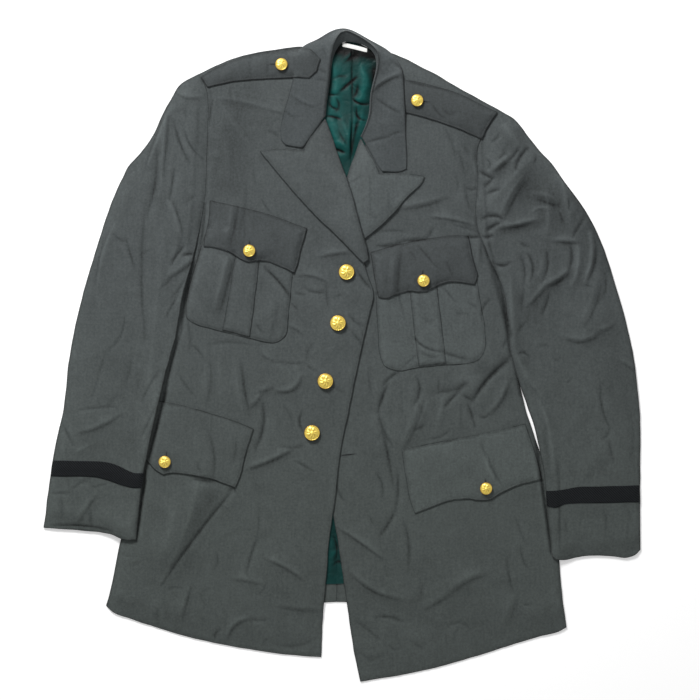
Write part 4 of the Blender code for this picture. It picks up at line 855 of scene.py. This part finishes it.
def satin_material(name, colour):
    """Satin lining: a fine gloss along the threads; painted shade in its folds and under the edges over it,
    painted highlight on ridges.
    """
    tree, shader, _, weave = new_material(name, pitch=0.45)
    gain = plus(tree, middled(tree, weave["Patch"], 0.5), 1.0)
    # Painted shade in grooves and creases, painted highlight on ridges.
    gain = maths(tree, "SUBTRACT", gain, times(tree, kept(tree, "hollow"), 0.5))
    gain = maths(tree, "SUBTRACT", gain, times(tree, kept(tree, "crease"), 0.8))
    # Painted shade near the lining's edges, where the pieces over it cast shadow.
    gain = plus(tree, gain, ramp(tree, kept(tree, "edge"), 0.0, 16.0, -0.45, 0.0))
    fill(tree, shader, {
        "Base Color": scaled_by(tree, colour, gain),
        "Normal": woven(tree, weave, ribs=(0.25, 0.0002), crumple=(0.7, 0.0016)),
        "Roughness": 0.5, "Anisotropic": 0.4, "Specular IOR Level": 0.16,
    })


def braid_material(name, colour):
    """Flat black braid with fine cross ribs."""
    tree, shader, place, weave = new_material(name, pitch=1.4)
    bars = add_node(tree, "TexWave", {"Vector": place, "Scale": 190.0, "Distortion": 1.2,
                                      "Detail": 2.0, "Detail Scale": 1.5},
                    wave_type="BANDS", bands_direction="DIAGONAL")["Fac"]
    gain = plus(tree, times(tree, weave["Mottle"], 0.8), times(tree, bars, 1.7))
    fill(tree, shader, {
        "Base Color": scaled_by(tree, colour, gain),
        "Normal": woven(tree, weave, ribs=(0.8, 0.0005)),
        "Roughness": 0.85, "Specular IOR Level": 0.12,
    })


def gilt_material(name, colour):
    """Gilt brass with tarnish in its hollows, painted shade on its outer rim, and fine grime."""
    tree, shader, place, _ = new_material(name)
    grime = noise_of(tree, place, 900.0, 4.0, 0.6)
    tarnish_and_rim_shade = mixed(tree, kept(tree, "hollow"), colour, TARNISH_AND_RIM_SHADE)
    fill(tree, shader, {
        "Base Color": scaled_by(tree, tarnish_and_rim_shade, plus(tree, times(tree, grime, 0.3), 1.0)),
        "Roughness": plus(tree, times(tree, grime, 0.2), 0.22),
        "Metallic": 0.45,
    })


def thread_material(name, colour):
    """Twisted sewing thread."""
    tree, shader, place, _ = new_material(name)
    gain = plus(tree, noise_of(tree, place, 2200.0, 2.0, 0.5), 0.5)
    fill(tree, shader, {"Base Color": scaled_by(tree, colour, gain), "Roughness": 0.6})


def tape_material(name, colour):
    """Cotton tape."""
    tree, shader, _, weave = new_material(name, pitch=0.5)
    gain = plus(tree, times(tree, weave["Mottle"], 0.2), 0.9)
    fill(tree, shader, {
        "Base Color": scaled_by(tree, colour, gain),
        "Normal": woven(tree, weave, ribs=(0.4, 0.0003)),
        "Roughness": 0.85,
    })


# Each material: its name, how it is made and the setting that holds its colour.
MATERIALS = (
    ("Wool", wool_material, "wool"), ("Pocket wool", wool_material, "pocket_wool"),
    ("Flap wool", wool_material, "flap_wool"), ("Collar wool", wool_material, "collar_wool"),
    ("Thread", thread_material, "thread"), ("Satin lining", satin_material, "satin"),
    ("Black braid", braid_material, "braid"), ("Gilt brass", gilt_material, "gilt"),
    ("Cotton tape", tape_material, "tape"),
)


# ---------------------------------------------------------------- pieces

def link_mesh(name, bm):
    """A new object in the scene that takes over a mesh."""
    mesh = bpy.data.meshes.new(name)
    bm.to_mesh(mesh)
    bm.free()
    thing = bpy.data.objects.new(name, mesh)
    bpy.context.scene.collection.objects.link(thing)
    return thing


def finish_piece(name, bm, material, node=None):
    """Makes a piece in metres from a mesh in millimetres; it stands for its node and rides with it."""
    bmesh.ops.scale(bm, vec=(MM, MM, MM), verts=bm.verts[:])
    piece = link_mesh(name, bm)
    piece.data.shade_smooth()
    piece.data.materials.append(bpy.data.materials[material])
    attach(piece, "root")
    if node:
        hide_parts(node)
    return piece


def settle(bm, least, rounds):
    """Softens the heights of a mesh that stays above the least heights."""
    set_heights(bm, np.maximum(heights_of(bm), least))
    for _ in range(rounds):
        even_heights(bm, 1)
        set_heights(bm, np.maximum(heights_of(bm), least))


def add_float(bm, name, values):
    """Keeps a value on each vertex of a mesh."""
    layer = bm.verts.layers.float.new(name)
    for vertex, value in zip(bm.verts, values):
        vertex[layer] = value


def hollow_shares(bm):
    """How far each vertex lies in a groove (towards 1) or on a ridge (towards -1)."""
    heights = heights_of(bm)
    even_heights(bm, HOLLOW_ROUNDS)
    shares = np.clip((heights_of(bm) - heights) / HOLLOW_DEPTH, -1, 1)
    set_heights(bm, heights)
    return shares


def close_underneath(bm, ring, wall, cell):
    """Closes a piece with a coarser skin that follows it, a wall's thickness down."""
    heights = heights_of(bm)
    tops = near_tree(plan_of(bm.verts))
    under = plan_mesh(ring, (UNDER_RIM,), cell)
    for vertex in under.verts:
        if vertex.is_boundary:
            vertex.co.z = heights[nearest(tops, vertex)] - (wall - RIM_DROP)
        else:
            near = [number for _, number, _ in tops.find_range(vertex.co, UNDER_REACH)]
            vertex.co.z = heights[near].min() - UNDER_SHARE * wall
    bmesh.ops.reverse_faces(under, faces=under.faces[:])
    rim = rim_of(bm, ring)
    sheet = bpy.data.meshes.new("under")
    under.to_mesh(sheet)
    under.free()
    bm.from_mesh(sheet)
    bpy.data.meshes.remove(sheet)
    lower = dict.fromkeys(vertex for vertex in bm.verts if vertex.is_boundary)
    for vertex in rim:
        del lower[vertex]
    lower = list(lower)
    feet = near_tree(plan_of(lower))
    foot = [lower[nearest(feet, vertex)] for vertex in rim]
    for k in range(len(rim)):
        bm.faces.new((rim[k - 1], rim[k], foot[k], foot[k - 1]))
    bmesh.ops.recalc_face_normals(bm, faces=bm.faces[:])
    if bm.calc_volume(signed=True) < 0:  # so thin a shell can come out inside out
        bmesh.ops.reverse_faces(bm, faces=bm.faces[:])


def keep_piece(node, ring, bm, painted_shade, hollow, edge):
    """Keeps a cloth's skin and outline for what lies on it, and its shades on its vertices."""
    rings[node] = ring
    trees[node] = BVHTree.FromBMesh(bm)
    add_float(bm, "hollow", hollow)
    add_float(bm, "edge", edge)
    add_float(bm, "crease", painted_shade)


def cloth(node, wall, on, folds=(), material="Wool", corner=CORNER, stitched=True,
          swell=1.0, rims=RIMS, shows=True, hugs=True, press=0.0):
    """A thin shell of cloth on the form of its node, with its creases, rims and pressed seam line."""
    given = bpy.context.scene.tunic
    hidden_cell = given.hidden_cell / MM
    cell = given.cell / MM * 1.0 if shows else hidden_cell
    wall = wall / MM
    ring = wavered(smooth_ring(outline_of(node), OUTLINE_STEP, corner))
    bm = plan_mesh(ring, rims, cell)
    plan = plan_of(bm.verts)
    edge = edge_distances(plan, ring)
    set_heights(bm, rest_heights(node, plan))
    even_heights(bm, round((2 * EVEN_REACH / 3 / cell) ** 2))
    seed = float(sum(map(ord, node)) % SEEDS)
    swells = np.clip(edge / SWELL_EDGE, 0, 1) * swell_heights(plan, seed, swell)
    set_heights(bm, heights_of(bm) + swells)
    tops = carried_heights(plan, on)
    least = np.maximum(tops + wall + REST_GAP, wall)
    settle(bm, least, REST_ROUNDS)
    heights = heights_of(bm)
    if hugs:
        clear = np.where(tops > NOTHING_UNDER, heights - least, 0)
        heights = heights - clear * HUG_SHARE * bell(edge / HUG)
    # Painted shade: the creases' shadow lines and the shades where the cloth turns away.
    painted_shade = np.zeros(len(plan))
    for table in folds:
        relief, crease_shade = fold_heights(plan, FOLDS[table])
        heights = heights + relief * np.clip(edge / FOLD_EDGE, FOLD_EDGE_LEAST, 1)
        painted_shade = np.maximum(painted_shade, np.maximum(crease_shade, fold_shades(plan, SHADES.get(table, ()))))
    heights = np.maximum(heights, least - REST_GAP)
    heights = heights - RIM_DROP * bell(edge / RIM_ROUND) - press * bell(edge / PRESS_REACH)
    if stitched:
        puckers = np.array([noise.noise(Vector((x, y, PUCKER_LEVEL)) / PUCKER_LENGTH)
                            for x, y in plan])
        heights = heights + PUCKER * bell(edge / PUCKER_REACH) * puckers
        heights = heights - STITCH_PRESS * bell((edge - STITCH_INSET) / STITCH_WIDTH)
    set_heights(bm, heights)
    keep_piece(node, ring, bm, painted_shade, hollow_shares(bm), edge)
    close_underneath(bm, ring, wall, hidden_cell)
    piece = finish_piece(f"{node}_cloth", bm, material, node)


class TUNIC_OT_materials(bpy.types.Operator):
    """Makes the materials of the cloth, the buttons and the trim"""

    bl_idname = "tunic.materials"
    bl_label = "Materials"

    def execute(self, context):
        weave_group()
        for name, make, setting in MATERIALS:
            make(name, getattr(context.scene.tunic, setting))
        return {"FINISHED"}


INSIDE = ("back_right", "back_left", "lining_right", "lining_left")
LAPEL_CORNER = 28
POCKET_CORNER = 60
FLAP_CORNER = 40
POCKET_PRESS = 0.5
PLEAT_PRESS = 0.4
UNDER_SLEEVE_SWELL = 0.3
BRAID_WALL = 0.001
TAPE_RIMS = (0.5, 0.5)


class TUNIC_OT_backs(bpy.types.Operator):
    """Lays the back panels and their satin lining"""

    bl_idname = "tunic.backs"
    bl_label = "Back and lining"

    def execute(self, context):
        given = context.scene.tunic
        for side in SIDES:
            cloth(f"back_{side}", given.wool_wall, (), swell=0.0, shows=False, hugs=False)
        for side in SIDES:
            cloth(f"lining_{side}", given.lining_wall, INSIDE[:2], ("lining",), "Satin lining",
                  stitched=False, hugs=False)
        return {"FINISHED"}


class TUNIC_OT_fronts(bpy.types.Operator):
    """Lays the fronts and turns their lapels back"""

    bl_idname = "tunic.fronts"
    bl_label = "Fronts and lapels"

    def execute(self, context):
        given = context.scene.tunic
        cloth("front_left", given.wool_wall, INSIDE, ("body_left",), hugs=False)
        cloth("lapel_left", given.doubled_wall, ("front_left",) + INSIDE, ("body_left",),
              "Pocket wool", corner=LAPEL_CORNER, hugs=False)
        under = INSIDE + ("front_left", "lapel_left")
        cloth("front_right", given.wool_wall, under, ("body_right",), hugs=False)
        cloth("lapel_right", given.doubled_wall, under + ("front_right",), ("body_right",),
              corner=LAPEL_CORNER, hugs=False)
        return {"FINISHED"}


class TUNIC_OT_pockets(bpy.types.Operator):
    """Sews on the breast pockets with their pleats, and the pocket flaps"""

    bl_idname = "tunic.pockets"
    bl_label = "Pockets"

    def execute(self, context):
        given = context.scene.tunic
        for side, wool in zip(SIDES, ("Wool", "Pocket wool")):
            folds = (f"body_{side}",)
            on = (f"front_{side}", f"breast_pocket_{side}", f"pleat_{side}")
            cloth(on[1], given.wool_wall, on[:1], folds, wool, corner=POCKET_CORNER,
                  press=POCKET_PRESS)
            cloth(on[2], given.wool_wall, on[:2], folds, wool, press=PLEAT_PRESS)
            cloth(f"breast_flap_{side}", given.doubled_wall, on, folds, "Flap wool",
                  corner=FLAP_CORNER)
            cloth(f"hip_flap_{side}", given.doubled_wall, on[:1], folds, wool, corner=FLAP_CORNER)
        return {"FINISHED"}


class TUNIC_OT_collar(bpy.types.Operator):
    """Makes the collar with its roll and stand, the epaulettes and the neck tape"""

    bl_idname = "tunic.collar"
    bl_label = "Collar and epaulettes"

    def execute(self, context):
        given = context.scene.tunic
        cloth("epaulette_left", given.doubled_wall, ("front_left",), ("body_left", "epaulette_left"),
              "Flap wool")
        make_collar()
        cloth("epaulette_right", given.doubled_wall, ("front_right", "collar"),
              ("body_right", "epaulette_right"), "Flap wool")
        cloth("label", given.lining_wall, INSIDE[2:], (), "Cotton tape", stitched=False,
              rims=TAPE_RIMS)
        return {"FINISHED"}


LEAF_CORNER = 32.0
CORNER_REACH = 1.6
CORNER_CREASE = 0.9
FORM_FLATNESS = 0.9
FORM_SHAPE = 1.2
COLLAR_LEVELS = 3
COLLAR_SEED = 5.0
COLLAR_EDGE_LEAST = 0.4
UP_GAIN = 2.0  # creases reach only the faces that look up
UP_LOSS = 0.4


def make_collar():
    """The collar on the form of its node: finer, with its creases and crisp leaf corners."""
    ring = outline_of("collar")
    ahead = unit(ahead_of(ring) - ring)[0]
    turn = np.arccos(np.clip((ahead * np.roll(ahead, 1, axis=0)).sum(1), -1, 1))
    corners = ring[turn > math.radians(LEAF_CORNER)]
    bm = node_mesh("collar")
    bmesh.ops.join_triangles(bm, faces=bm.faces[:], angle_face_threshold=FORM_FLATNESS,
                             angle_shape_threshold=FORM_SHAPE)
    gaps = [np.linalg.norm(corners - at, axis=1).min() for at in plan_of(bm.verts)]
    add_float(bm, "crease_vert", [CORNER_CREASE if gap < CORNER_REACH else 0.0 for gap in gaps])
    form = link_mesh("collar_form", bm)
    form.modifiers.new("Finer", "SUBSURF").levels = COLLAR_LEVELS
    fine = form.evaluated_get(bpy.context.evaluated_depsgraph_get()).to_mesh()
    bm = bmesh.new()
    bm.from_mesh(fine)
    bpy.data.objects.remove(form)
    bm.normal_update()
    plan = plan_of(bm.verts)
    edge = edge_distances(plan, smooth_ring(ring, OUTLINE_STEP, LEAF_CORNER))
    up = np.clip([vertex.normal.z * UP_GAIN - UP_LOSS for vertex in bm.verts], 0, 1)
    relief, painted_shade = fold_heights(plan, FOLDS["collar"])
    relief = relief + swell_heights(plan, COLLAR_SEED, 1.0)
    set_heights(bm, heights_of(bm) + relief * up * np.clip(edge / FOLD_EDGE, COLLAR_EDGE_LEAST, 1))
    keep_piece("collar", ring, bm, painted_shade * up, hollow_shares(bm) * up, edge)
    piece = finish_piece("collar_cloth", bm, "Collar wool", "collar")


class TUNIC_OT_sleeves(bpy.types.Operator):
    """Lays the sleeves and their cuff braid"""

    bl_idname = "tunic.sleeves"
    bl_label = "Sleeves"

    def execute(self, context):
        given = context.scene.tunic
        for side in SIDES:
            under, top = f"sleeve_{side}_under", f"sleeve_{side}_top"
            cloth(under, given.wool_wall, (), swell=UNDER_SLEEVE_SWELL, shows=False, hugs=False)
            cloth(top, given.wool_wall, (under,), (f"sleeve_{side}",), hugs=False)
            cloth(f"braid_{side}", BRAID_WALL, (top,), (), "Black braid", stitched=False)
        return {"FINISHED"}


# The section of a button: shares of its radius and of its height, from the back to the dome.
BUTTON_SECTION = (
    (0.0, 0.0), (0.24, 0.0), (0.24, 0.22), (0.93, 0.22), (0.985, 0.27), (1.0, 0.36),
    (0.985, 0.46), (0.95, 0.52), (0.90, 0.54), (0.86, 0.53), (0.835, 0.50), (0.82, 0.50),
    (0.80, 0.54), (0.77, 0.57), (0.72, 0.61), (0.67, 0.645), (0.62, 0.675), (0.57, 0.70),
    (0.52, 0.725), (0.47, 0.745), (0.42, 0.76), (0.37, 0.775), (0.32, 0.79), (0.27, 0.80),
    (0.22, 0.81), (0.17, 0.815), (0.12, 0.82), (0.07, 0.825), (0.0, 0.825),
)
FACE_FROM = 0.45  # of the height
ROPE_IN, ROPE_RISE, ROPE_TURNS = 0.86, 0.035, 22
PETALS_IN, PETALS_OUT, PETAL_RISE, PETAL_LEVEL = 0.14, 0.76, 0.16, 0.4
PETAL_TURNS, PETAL_FOLDS, PETAL_TWIST = 4, 2, 3.0
BOSS_RISE = 0.07
# From this share of the radius out, the rim takes the full tarnish colour as painted shade.
RIM_SHADE_FROM = 0.935
DITCH_IN, DITCH_SHADE = 0.80, 0.6
HOLLOW_GAIN, HOLLOW_MOST = 7, 0.5


class TUNIC_OT_buttons(bpy.types.Operator):
    """Turns the gilt buttons with a roped rim and a plain rosette"""

    bl_idname = "tunic.buttons"
    bl_label = "Buttons"

    def execute(self, context):
        for name in sorted(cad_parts):
            if "button" in name:
                make_button(name, context.scene.tunic.button_steps)
        return {"FINISHED"}


def button_relief(out, turn):
    """The relief on a button's face, as a share of its height, at a share of its radius."""
    if out > ROPE_IN:
        return ROPE_RISE * math.cos(turn * ROPE_TURNS)
    if out <= PETALS_IN:
        return BOSS_RISE
    if out >= PETALS_OUT:
        return 0.0
    petal = math.cos(turn * PETAL_TURNS + PETAL_TWIST * out) * math.cos(turn * PETAL_FOLDS)
    across = (out - PETALS_IN) / (PETALS_OUT - PETALS_IN)
    return PETAL_RISE * (petal**2 - PETAL_LEVEL) * math.sin(across * math.pi)


def button_shade(out, relief):
    """How much tarnish colour a button takes at a share of its radius: patina in its ditch and hollows,
    painted shade on its outer rim.
    """
    if out > RIM_SHADE_FROM:
        return 1.0
    if DITCH_IN < out < ROPE_IN:
        return DITCH_SHADE
    return min(HOLLOW_MOST, max(0.0, -relief * HOLLOW_GAIN))


def make_button(node, steps):
    """One button on the place of its node."""
    low, high = (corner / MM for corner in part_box(node))
    centre = (low + high) / 2
    radius = (high.x - low.x) / 2
    height = high.z - low.z
    bm = bmesh.new()
    line = [bm.verts.new((share * radius, 0.0, low.z + over * height))
            for share, over in BUTTON_SECTION]
    edges = [bm.edges.new(pair) for pair in zip(line, line[1:])]
    bmesh.ops.spin(bm, geom=line + edges, cent=(0, 0, 0), axis=(0, 0, 1), angle=2 * math.pi,
                   steps=steps, use_merge=True)
    bmesh.ops.remove_doubles(bm, verts=bm.verts[:], dist=MERGE_NEAR)
    bmesh.ops.recalc_face_normals(bm, faces=bm.faces[:])
    layer = bm.verts.layers.float.new("hollow")
    for vertex in bm.verts:
        out = math.hypot(vertex.co.x, vertex.co.y) / radius
        relief = 0.0
        if (vertex.co.z - low.z) / height > FACE_FROM:
            relief = button_relief(out, math.atan2(vertex.co.y, vertex.co.x))
        vertex.co.z += relief * height
        vertex[layer] = button_shade(out, relief)
    bmesh.ops.translate(bm, vec=(centre.x, centre.y, 0), verts=bm.verts[:])
    finish_piece(f"{node}_gilt", bm, "Gilt brass", node)


# Rows of stitches: how far each row lies inside its piece's edge.
STITCH_ROWS = {"breast_pocket": 2.4, "pleat": 2.0, "breast_flap": 2.4, "hip_flap": 2.4,
               "epaulette": 2.4, "lapel": 2.4, "front": 2.4}
STITCHED = {f"{part}_{side}": inset for part, inset in STITCH_ROWS.items() for side in SIDES}
STITCHED["collar"] = 2.4
STITCH_CLEAR = 0.9  # of the inset; a place closer to the edge gets no stitch
STITCH_SHARE = 0.78
STITCH_RISE = 0.4
STITCH_SLOPE = 0.3
THREAD = 0.55
# Buttonholes: the piece, the middle, the angle and the length.
BUTTONHOLES = (
    ("front_left", 7.5, -128.0, 6.0, 20.0), ("breast_flap_right", -118.0, 138.0, 88.0, 14.0),
    ("breast_flap_left", 102.0, 100.5, 80.0, 14.0), ("hip_flap_right", -224.5, -131.0, 82.0, 14.0),
    ("hip_flap_left", 183.0, -165.5, 88.0, 14.0), ("epaulette_right", -84.0, 370.5, 0.0, 18.0),
    ("epaulette_left", 103.0, 323.0, -6.0, 16.0),
)
# Width of the black sliver that is the painted shadow in a buttonhole's cut.
SLIT = 1.0
PURL_STEP = 0.75
PURL_OUT = 0.85
PURL_LENGTH = 1.5
BAR_END = 0.4
BAR_OUT = 0.8


def stitch_places(ring, inset, pitch):
    """Places at even steps on a line inside an outline, and the way that the line runs there."""
    line, way = inset_line(ring, inset)
    clear = edge_distances(line, ring) > STITCH_CLEAR * inset
    following = ahead_of(line)
    steps = np.linalg.norm(following - line, axis=1)
    run = np.concatenate([[0.0], np.cumsum(steps)])
    at = np.arange(0.0, run[-1] - pitch / 2, pitch)
    number = np.searchsorted(run, at, side="right") - 1
    share = ((at - run[number]) / steps[number])[:, None]
    place = line[number] + (following[number] - line[number]) * share
    return place[clear[number]], way[number][clear[number]]


def add_stitch(bm, node, place, way, length, width):
    """One stitch that lies on a piece's skin."""
    spot, normal, _, _ = trees[node].ray_cast(Vector((*place, ABOVE)), DOWN)
    if spot is None or normal.z < STITCH_SLOPE:
        return
    along = Vector((*way, 0))
    along = (along - normal * along.dot(normal)).normalized()
    across = normal.cross(along)
    turned = Matrix((along, across, normal)).transposed().to_4x4()
    sized = Matrix.Diagonal((length / 2, width / 2, width * STITCH_RISE, 1))
    bmesh.ops.create_icosphere(bm, subdivisions=1, radius=1.0,
                               matrix=Matrix.Translation(spot) @ turned @ sized)


def make_buttonhole(name, node, x, y, angle, length):
    """One worked buttonhole: its purled edges, its barred ends, and between them a black sliver, the
    painted shadow in its cut.
    """
    middle = np.array([x, y])
    way = np.array([math.cos(math.radians(angle)), math.sin(math.radians(angle))])
    side = np.array([-way[1], way[0]])
    bm = bmesh.new()
    for at in np.arange(-length / 2, length / 2, PURL_STEP):
        for turn in (-1, 1):
            add_stitch(bm, node, middle + at * way + turn * PURL_OUT * side, side, PURL_LENGTH,
                       THREAD)
    for end in (-1, 1):
        for turn in (-1, 0, 1):
            add_stitch(bm, node, middle + end * (length / 2 + BAR_END) * way + turn * BAR_OUT * side,
                       way, PURL_LENGTH, THREAD)
    finish_piece(name, bm, "Thread")
    # A black sliver as the painted shadow in the cut.
    bm = bmesh.new()
    add_stitch(bm, node, middle, way, length, SLIT)
    finish_piece(f"{name}_slit", bm, "Black braid")


class TUNIC_OT_stitching(bpy.types.Operator):
    """Sews the edges with rows of single stitches, and works the buttonholes"""

    bl_idname = "tunic.stitching"
    bl_label = "Stitching and buttonholes"

    def execute(self, context):
        pitch = context.scene.tunic.stitch_length / MM
        for node, inset in STITCHED.items():
            bm = bmesh.new()
            for place, way in zip(*stitch_places(rings[node], inset, pitch)):
                add_stitch(bm, node, place, way, STITCH_SHARE * pitch, THREAD)
            finish_piece(f"{node}_stitches", bm, "Thread")
        for number, hole in enumerate(BUTTONHOLES):
            make_buttonhole(f"buttonhole_{number + 1}", *hole)
        return {"FINISHED"}


FLOOR_SIDE = 4.0
FLOOR_DROP = 0.0002
WORLD_STRENGTH = 0.3
# The lights: the name, the setting that holds the power, the place and the size.
LIGHTS = (("Key", "key_power", (-0.9, 1.9, 1.55), 0.7), ("Fill", "fill_power", (0.1, -0.1, 2.6), 1.8))
VIEW_MIDDLE = (0.01024, 0.00576)
SENSOR = 36.0
VIEW_END = 50.0


def make_floor(given):
    """The pale floor under the coat."""
    bm = bmesh.new()
    bmesh.ops.create_grid(bm, x_segments=2, y_segments=2, size=FLOOR_SIDE)
    bmesh.ops.translate(bm, vec=(0, 0, -FLOOR_DROP), verts=bm.verts[:])
    floor = link_mesh("tunic_floor", bm)
    material = bpy.data.materials.new("Floor")
    material.use_nodes = True
    fill(material.node_tree, material.node_tree.nodes["Principled BSDF"].inputs, {
        "Base Color": (*given.floor, 1.0), "Roughness": 0.9, "Specular IOR Level": 0.1,
        "Emission Color": (1.0, 1.0, 1.0, 1.0), "Emission Strength": given.floor_glow,
    })
    floor.data.materials.append(material)


class TUNIC_OT_stage(bpy.types.Operator):
    """Sets up the floor, the soft light and the camera over the coat"""

    bl_idname = "tunic.stage"
    bl_label = "Stage"

    def execute(self, context):
        scene = context.scene
        given = scene.tunic_stage
        make_floor(given)
        world = bpy.data.worlds.new("Studio")
        world.use_nodes = True
        fill(world.node_tree, world.node_tree.nodes["Background"].inputs,
             {"Color": (1, 1, 1, 1), "Strength": WORLD_STRENGTH})
        scene.world = world
        for name, power, place, size in LIGHTS:
            light = bpy.data.lights.new(name, "AREA")
            light.energy = getattr(given, power)
            light.size = size
            lamp = bpy.data.objects.new(name, light)
            scene.collection.objects.link(lamp)
            lamp.location = place
            lamp.rotation_euler = (-Vector(place)).to_track_quat("-Z", "Y").to_euler()
        camera = bpy.data.cameras.new("Camera")
        camera.sensor_width = SENSOR
        camera.lens = SENSOR * given.camera_height / given.view_width
        camera.clip_end = VIEW_END
        view = bpy.data.objects.new("Camera", camera)
        scene.collection.objects.link(view)
        view.location = (*VIEW_MIDDLE, given.camera_height)
        scene.camera = view
        scene.view_settings.view_transform = "Standard"
        return {"FINISHED"}


# ---------------------------------------------------------------- panel and steps

STEPS = (TUNIC_OT_materials, TUNIC_OT_stage, TUNIC_OT_backs, TUNIC_OT_fronts, TUNIC_OT_pockets,
         TUNIC_OT_collar, TUNIC_OT_sleeves, TUNIC_OT_stitching, TUNIC_OT_buttons)


class TUNIC_PT_panel(bpy.types.Panel):
    """Lists the tunic's settings and steps"""

    bl_label = "Dress tunic"
    bl_space_type = "VIEW_3D"
    bl_region_type = "UI"
    bl_category = "Tunic"

    def draw(self, context):
        for group in (context.scene.tunic, context.scene.tunic_stage):
            for key in group.bl_rna.properties.keys():
                if key not in ("rna_type", "name"):
                    self.layout.prop(group, key)
        for step in STEPS:
            self.layout.operator(step.bl_idname)


CLASSES = (TunicSettings, StageSettings) + STEPS + (TUNIC_PT_panel,)


def register():
    """Registers the classes and the scene's settings."""
    for item in CLASSES:
        bpy.utils.register_class(item)
    bpy.types.Scene.tunic = PointerProperty(type=TunicSettings)
    bpy.types.Scene.tunic_stage = PointerProperty(type=StageSettings)


def unregister():
    """Takes the settings and the classes away again."""
    del bpy.types.Scene.tunic_stage
    del bpy.types.Scene.tunic
    for item in reversed(CLASSES):
        bpy.utils.unregister_class(item)


def main():
    """Makes the tunic step by step."""
    register()
    for step in STEPS:
        package, call = step.bl_idname.split(".")
        getattr(getattr(bpy.ops, package), call)()


if __name__ == "__main__":
    main()
